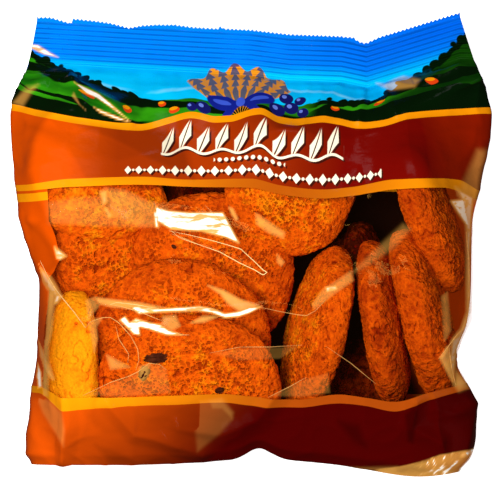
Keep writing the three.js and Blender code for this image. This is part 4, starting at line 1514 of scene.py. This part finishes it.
PANEL_PRINT = -80  # height on the flat print of what the bottom shows
PANEL_MIDDLE = 28  # how high the middle of the bottom panel is over the floor
PANEL_TUCK = 5.5  # how far the panel is pushed in
FIN_ENDS, FIN_WIDTH, FIN_CRIMPS = (-78, 80), 13, 7


def add_bottom(settings):
    """The bottom panel, folded in from its sides like a parcel, and its fin."""
    columns, rows = PANEL_CELLS
    u, w = np.meshgrid(np.linspace(-1, 1, columns + 1), np.linspace(-1, 1, rows + 1))
    x, z = section_point(u, w, BASE + 0 * u)
    inner = (1 - np.abs(u) ** 6) * (1 - np.abs(w) ** 6)
    step = 1.4 * smoothstep(np.abs(x) - 52 + np.abs(z - PANEL_MIDDLE), 0, 1.2)
    fold = 0.8 * ridges(x * 0.6, z, 12, 31) ** 3 + 0.6 * ridges(x + z, z - x, 16, 33) ** 3
    inwards = inner * (PANEL_TUCK - step - fold)
    y = waved(x, BASE + 0 * x) + inwards
    points = np.stack((x, y, np.maximum(z, 0)), axis=-1)
    on_print = np.stack((u * FRONT_PRINT, PANEL_PRINT + w * 8), axis=-1)
    material = printed_film_material(settings)
    film_sheet("bottom_panel", points, on_print, material)
    add_bottom_fin(material)


def add_bottom_fin(material):
    """The crimped fin of the bottom panel, laid flat on it."""
    columns, rows = FIN_CELLS
    rise = np.linspace(0, 1, rows + 1)[:, None]
    across = np.linspace(*FIN_ENDS, columns + 1)[None, :]
    z = PANEL_MIDDLE + rise * FIN_WIDTH + 0.6 * np.sin(across / 19)
    crimps = 0.3 * np.cos(rise * 2 * np.pi * FIN_CRIMPS)
    y = waved(across + 0 * rise, BASE + 0 * z) + 2.0 - 0.4 * rise - crimps
    points = np.stack((across + 0 * rise, y, z + 0 * y), axis=-1)
    on_print = np.stack((across + 0 * rise, PANEL_PRINT + 0 * z), axis=-1)
    film_sheet("bottom_fin", points, on_print, material)


# ---------------------------------------------------------------- the stage

VIEW_MIDDLE = (-0.4, -2.2)  # the middle of the picture, on the bag
VIEW_WIDTH = 208.3  # how much of the bag's width the picture spans
VIEW_LEVEL = 35.0  # at this level over the floor
CAMERA_HEIGHT = 3000.0
SENSOR = 36.0


def add_camera():
    """A camera high over the bag, that looks straight down on it."""
    bpy.ops.object.camera_add(
        location=(*(at * MM for at in VIEW_MIDDLE), CAMERA_HEIGHT * MM), rotation=(0, 0, 0))
    camera = bpy.context.object
    camera.data.sensor_width = SENSOR
    camera.data.lens = SENSOR * (CAMERA_HEIGHT - VIEW_LEVEL) / VIEW_WIDTH
    bpy.context.scene.camera = camera


def add_soft_light(name, place, size, power, tint=(1, 1, 1), diffuse=True, glossy=True):
    """A soft light that faces the bag."""
    bpy.ops.object.light_add(type="AREA", location=place)
    lamp = bpy.context.object
    lamp.name = name
    aim = Vector((0, 0, 0.03)) - lamp.location
    lamp.rotation_euler = aim.to_track_quat("-Z", "Y").to_euler()
    lamp.data.shape = "RECTANGLE"
    lamp.data.size, lamp.data.size_y = size
    lamp.data.energy = power
    lamp.data.color = tint
    lamp.visible_diffuse, lamp.visible_glossy = diffuse, glossy


def add_floor():
    """A plain floor that lights nothing and isn't mirrored."""
    bpy.ops.object.select_all(action="DESELECT")
    bpy.ops.mesh.primitive_plane_add(size=6, location=(0, 0, 0))
    floor = bpy.context.object
    floor.name = "floor"
    place_vertices(floor, vertices(floor) - (0, 0, FLOOR_GAP * MM))
    floor.data.materials.append(floor_material())
    floor.visible_diffuse = floor.visible_glossy = False


def add_world():
    """Weak warm light from all around."""
    world = bpy.data.worlds.new("studio")
    bpy.context.scene.world = world
    world.use_nodes = True
    shade = world.node_tree.nodes["Background"]
    shade.inputs["Color"].default_value = (0.95, 0.58, 0.44, 1)
    shade.inputs["Strength"].default_value = 0.06


# ---------------------------------------------------------------- operators and panel

class COOKIEBAG_OT_cookies(bpy.types.Operator):
    """Adds the cookies, lying flat and on edge, inside the bag"""
    bl_idname = "cookie_bag.cookies"
    bl_label = "Cookies"

    def execute(self, context):
        settings = context.scene.bag_cookies
        material = cookie_material(settings)
        places = [(name, at, sizes, lying_axes(a, b), bake)
                  for name, (at, sizes, a, b, bake) in LYING.items()]
        places += [(name, at, sizes, on_edge_axes(a, b), bake)
                   for name, (at, sizes, a, b, bake) in ON_EDGE.items()]
        for seed, (name, at, sizes, axes, bake) in enumerate(places, FIRST_SEED):
            add_cookie(name, at, sizes, axes, bake, material, settings, seed)
        return {"FINISHED"}


class COOKIEBAG_OT_raisins(bpy.types.Operator):
    """Adds the raisins that show on the cookies"""
    bl_idname = "cookie_bag.raisins"
    bl_label = "Raisins"

    def execute(self, context):
        add_raisins(raisin_material(context.scene.bag_cookies))
        return {"FINISHED"}


class COOKIEBAG_OT_front_film(bpy.types.Operator):
    """Adds the printed and clear film of the front and sides, drawn over the cookies"""
    bl_idname = "cookie_bag.front_film"
    bl_label = "Front film"

    def execute(self, context):
        add_front_film(context.scene.bag_film)
        return {"FINISHED"}


class COOKIEBAG_OT_seal(bpy.types.Operator):
    """Adds the crimped top seal"""
    bl_idname = "cookie_bag.seal"
    bl_label = "Top seal"

    def execute(self, context):
        add_seal(context.scene.bag_film)
        return {"FINISHED"}


class COOKIEBAG_OT_back_film(bpy.types.Operator):
    """Adds the back film and its long seam"""
    bl_idname = "cookie_bag.back_film"
    bl_label = "Back film"

    def execute(self, context):
        add_back(context.scene.bag_film)
        return {"FINISHED"}


class COOKIEBAG_OT_bottom(bpy.types.Operator):
    """Adds the folded bottom panel and its fin"""
    bl_idname = "cookie_bag.bottom"
    bl_label = "Bottom"

    def execute(self, context):
        add_bottom(context.scene.bag_film)
        return {"FINISHED"}


class COOKIEBAG_OT_stage(bpy.types.Operator):
    """Adds the floor, the lights and the camera"""
    bl_idname = "cookie_bag.stage"
    bl_label = "Stage"

    def execute(self, context):
        settings = context.scene.bag_stage
        add_camera()
        add_floor()
        add_world()
        add_soft_light("key_light", (-0.17, 0.03, 0.62), (0.3, 0.3), settings.key, glossy=False)
        add_soft_light("glint_light", (0, 0.61, 0.51), (0.22, 0.14), settings.glint, diffuse=False)
        add_soft_light("fill_light", (0.60, -0.10, 0.45), (0.4, 0.4), settings.fill, glossy=False)
        context.scene.view_settings.view_transform = "Standard"
        return {"FINISHED"}


class COOKIEBAG_PT_panel(bpy.types.Panel):
    """Lists what builds the bag"""
    bl_label = "Cookie Bag"
    bl_space_type = "VIEW_3D"
    bl_region_type = "UI"
    bl_category = "Cookie Bag"

    def draw(self, context):
        for step in STEPS:
            self.layout.operator(step.bl_idname)
        for group in (context.scene.bag_cookies, context.scene.bag_film, context.scene.bag_stage):
            for name in group.__annotations__:
                self.layout.prop(group, name)


STEPS = (COOKIEBAG_OT_cookies, COOKIEBAG_OT_raisins, COOKIEBAG_OT_front_film, COOKIEBAG_OT_seal,
         COOKIEBAG_OT_back_film, COOKIEBAG_OT_bottom, COOKIEBAG_OT_stage)
GROUPS = {"bag_cookies": CookieSettings, "bag_film": FilmSettings, "bag_stage": StageSettings}


def register():
    """Adds the classes, and the settings to the scene."""
    for group in (*GROUPS.values(), *STEPS, COOKIEBAG_PT_panel):
        bpy.utils.register_class(group)
    for name, group in GROUPS.items():
        setattr(bpy.types.Scene, name, PointerProperty(type=group))


def unregister():
    """Takes the settings and the classes away again."""
    for name in GROUPS:
        delattr(bpy.types.Scene, name)
    for group in (COOKIEBAG_PT_panel, *reversed(STEPS), *GROUPS.values()):
        bpy.utils.unregister_class(group)


def main():
    """Builds the bag and its stage."""
    register()
    bpy.ops.cookie_bag.cookies()
    bpy.ops.cookie_bag.raisins()
    bpy.ops.cookie_bag.front_film()
    bpy.ops.cookie_bag.seal()
    bpy.ops.cookie_bag.back_film()
    bpy.ops.cookie_bag.bottom()
    bpy.ops.cookie_bag.stage()


if __name__ == "__main__":
    main()
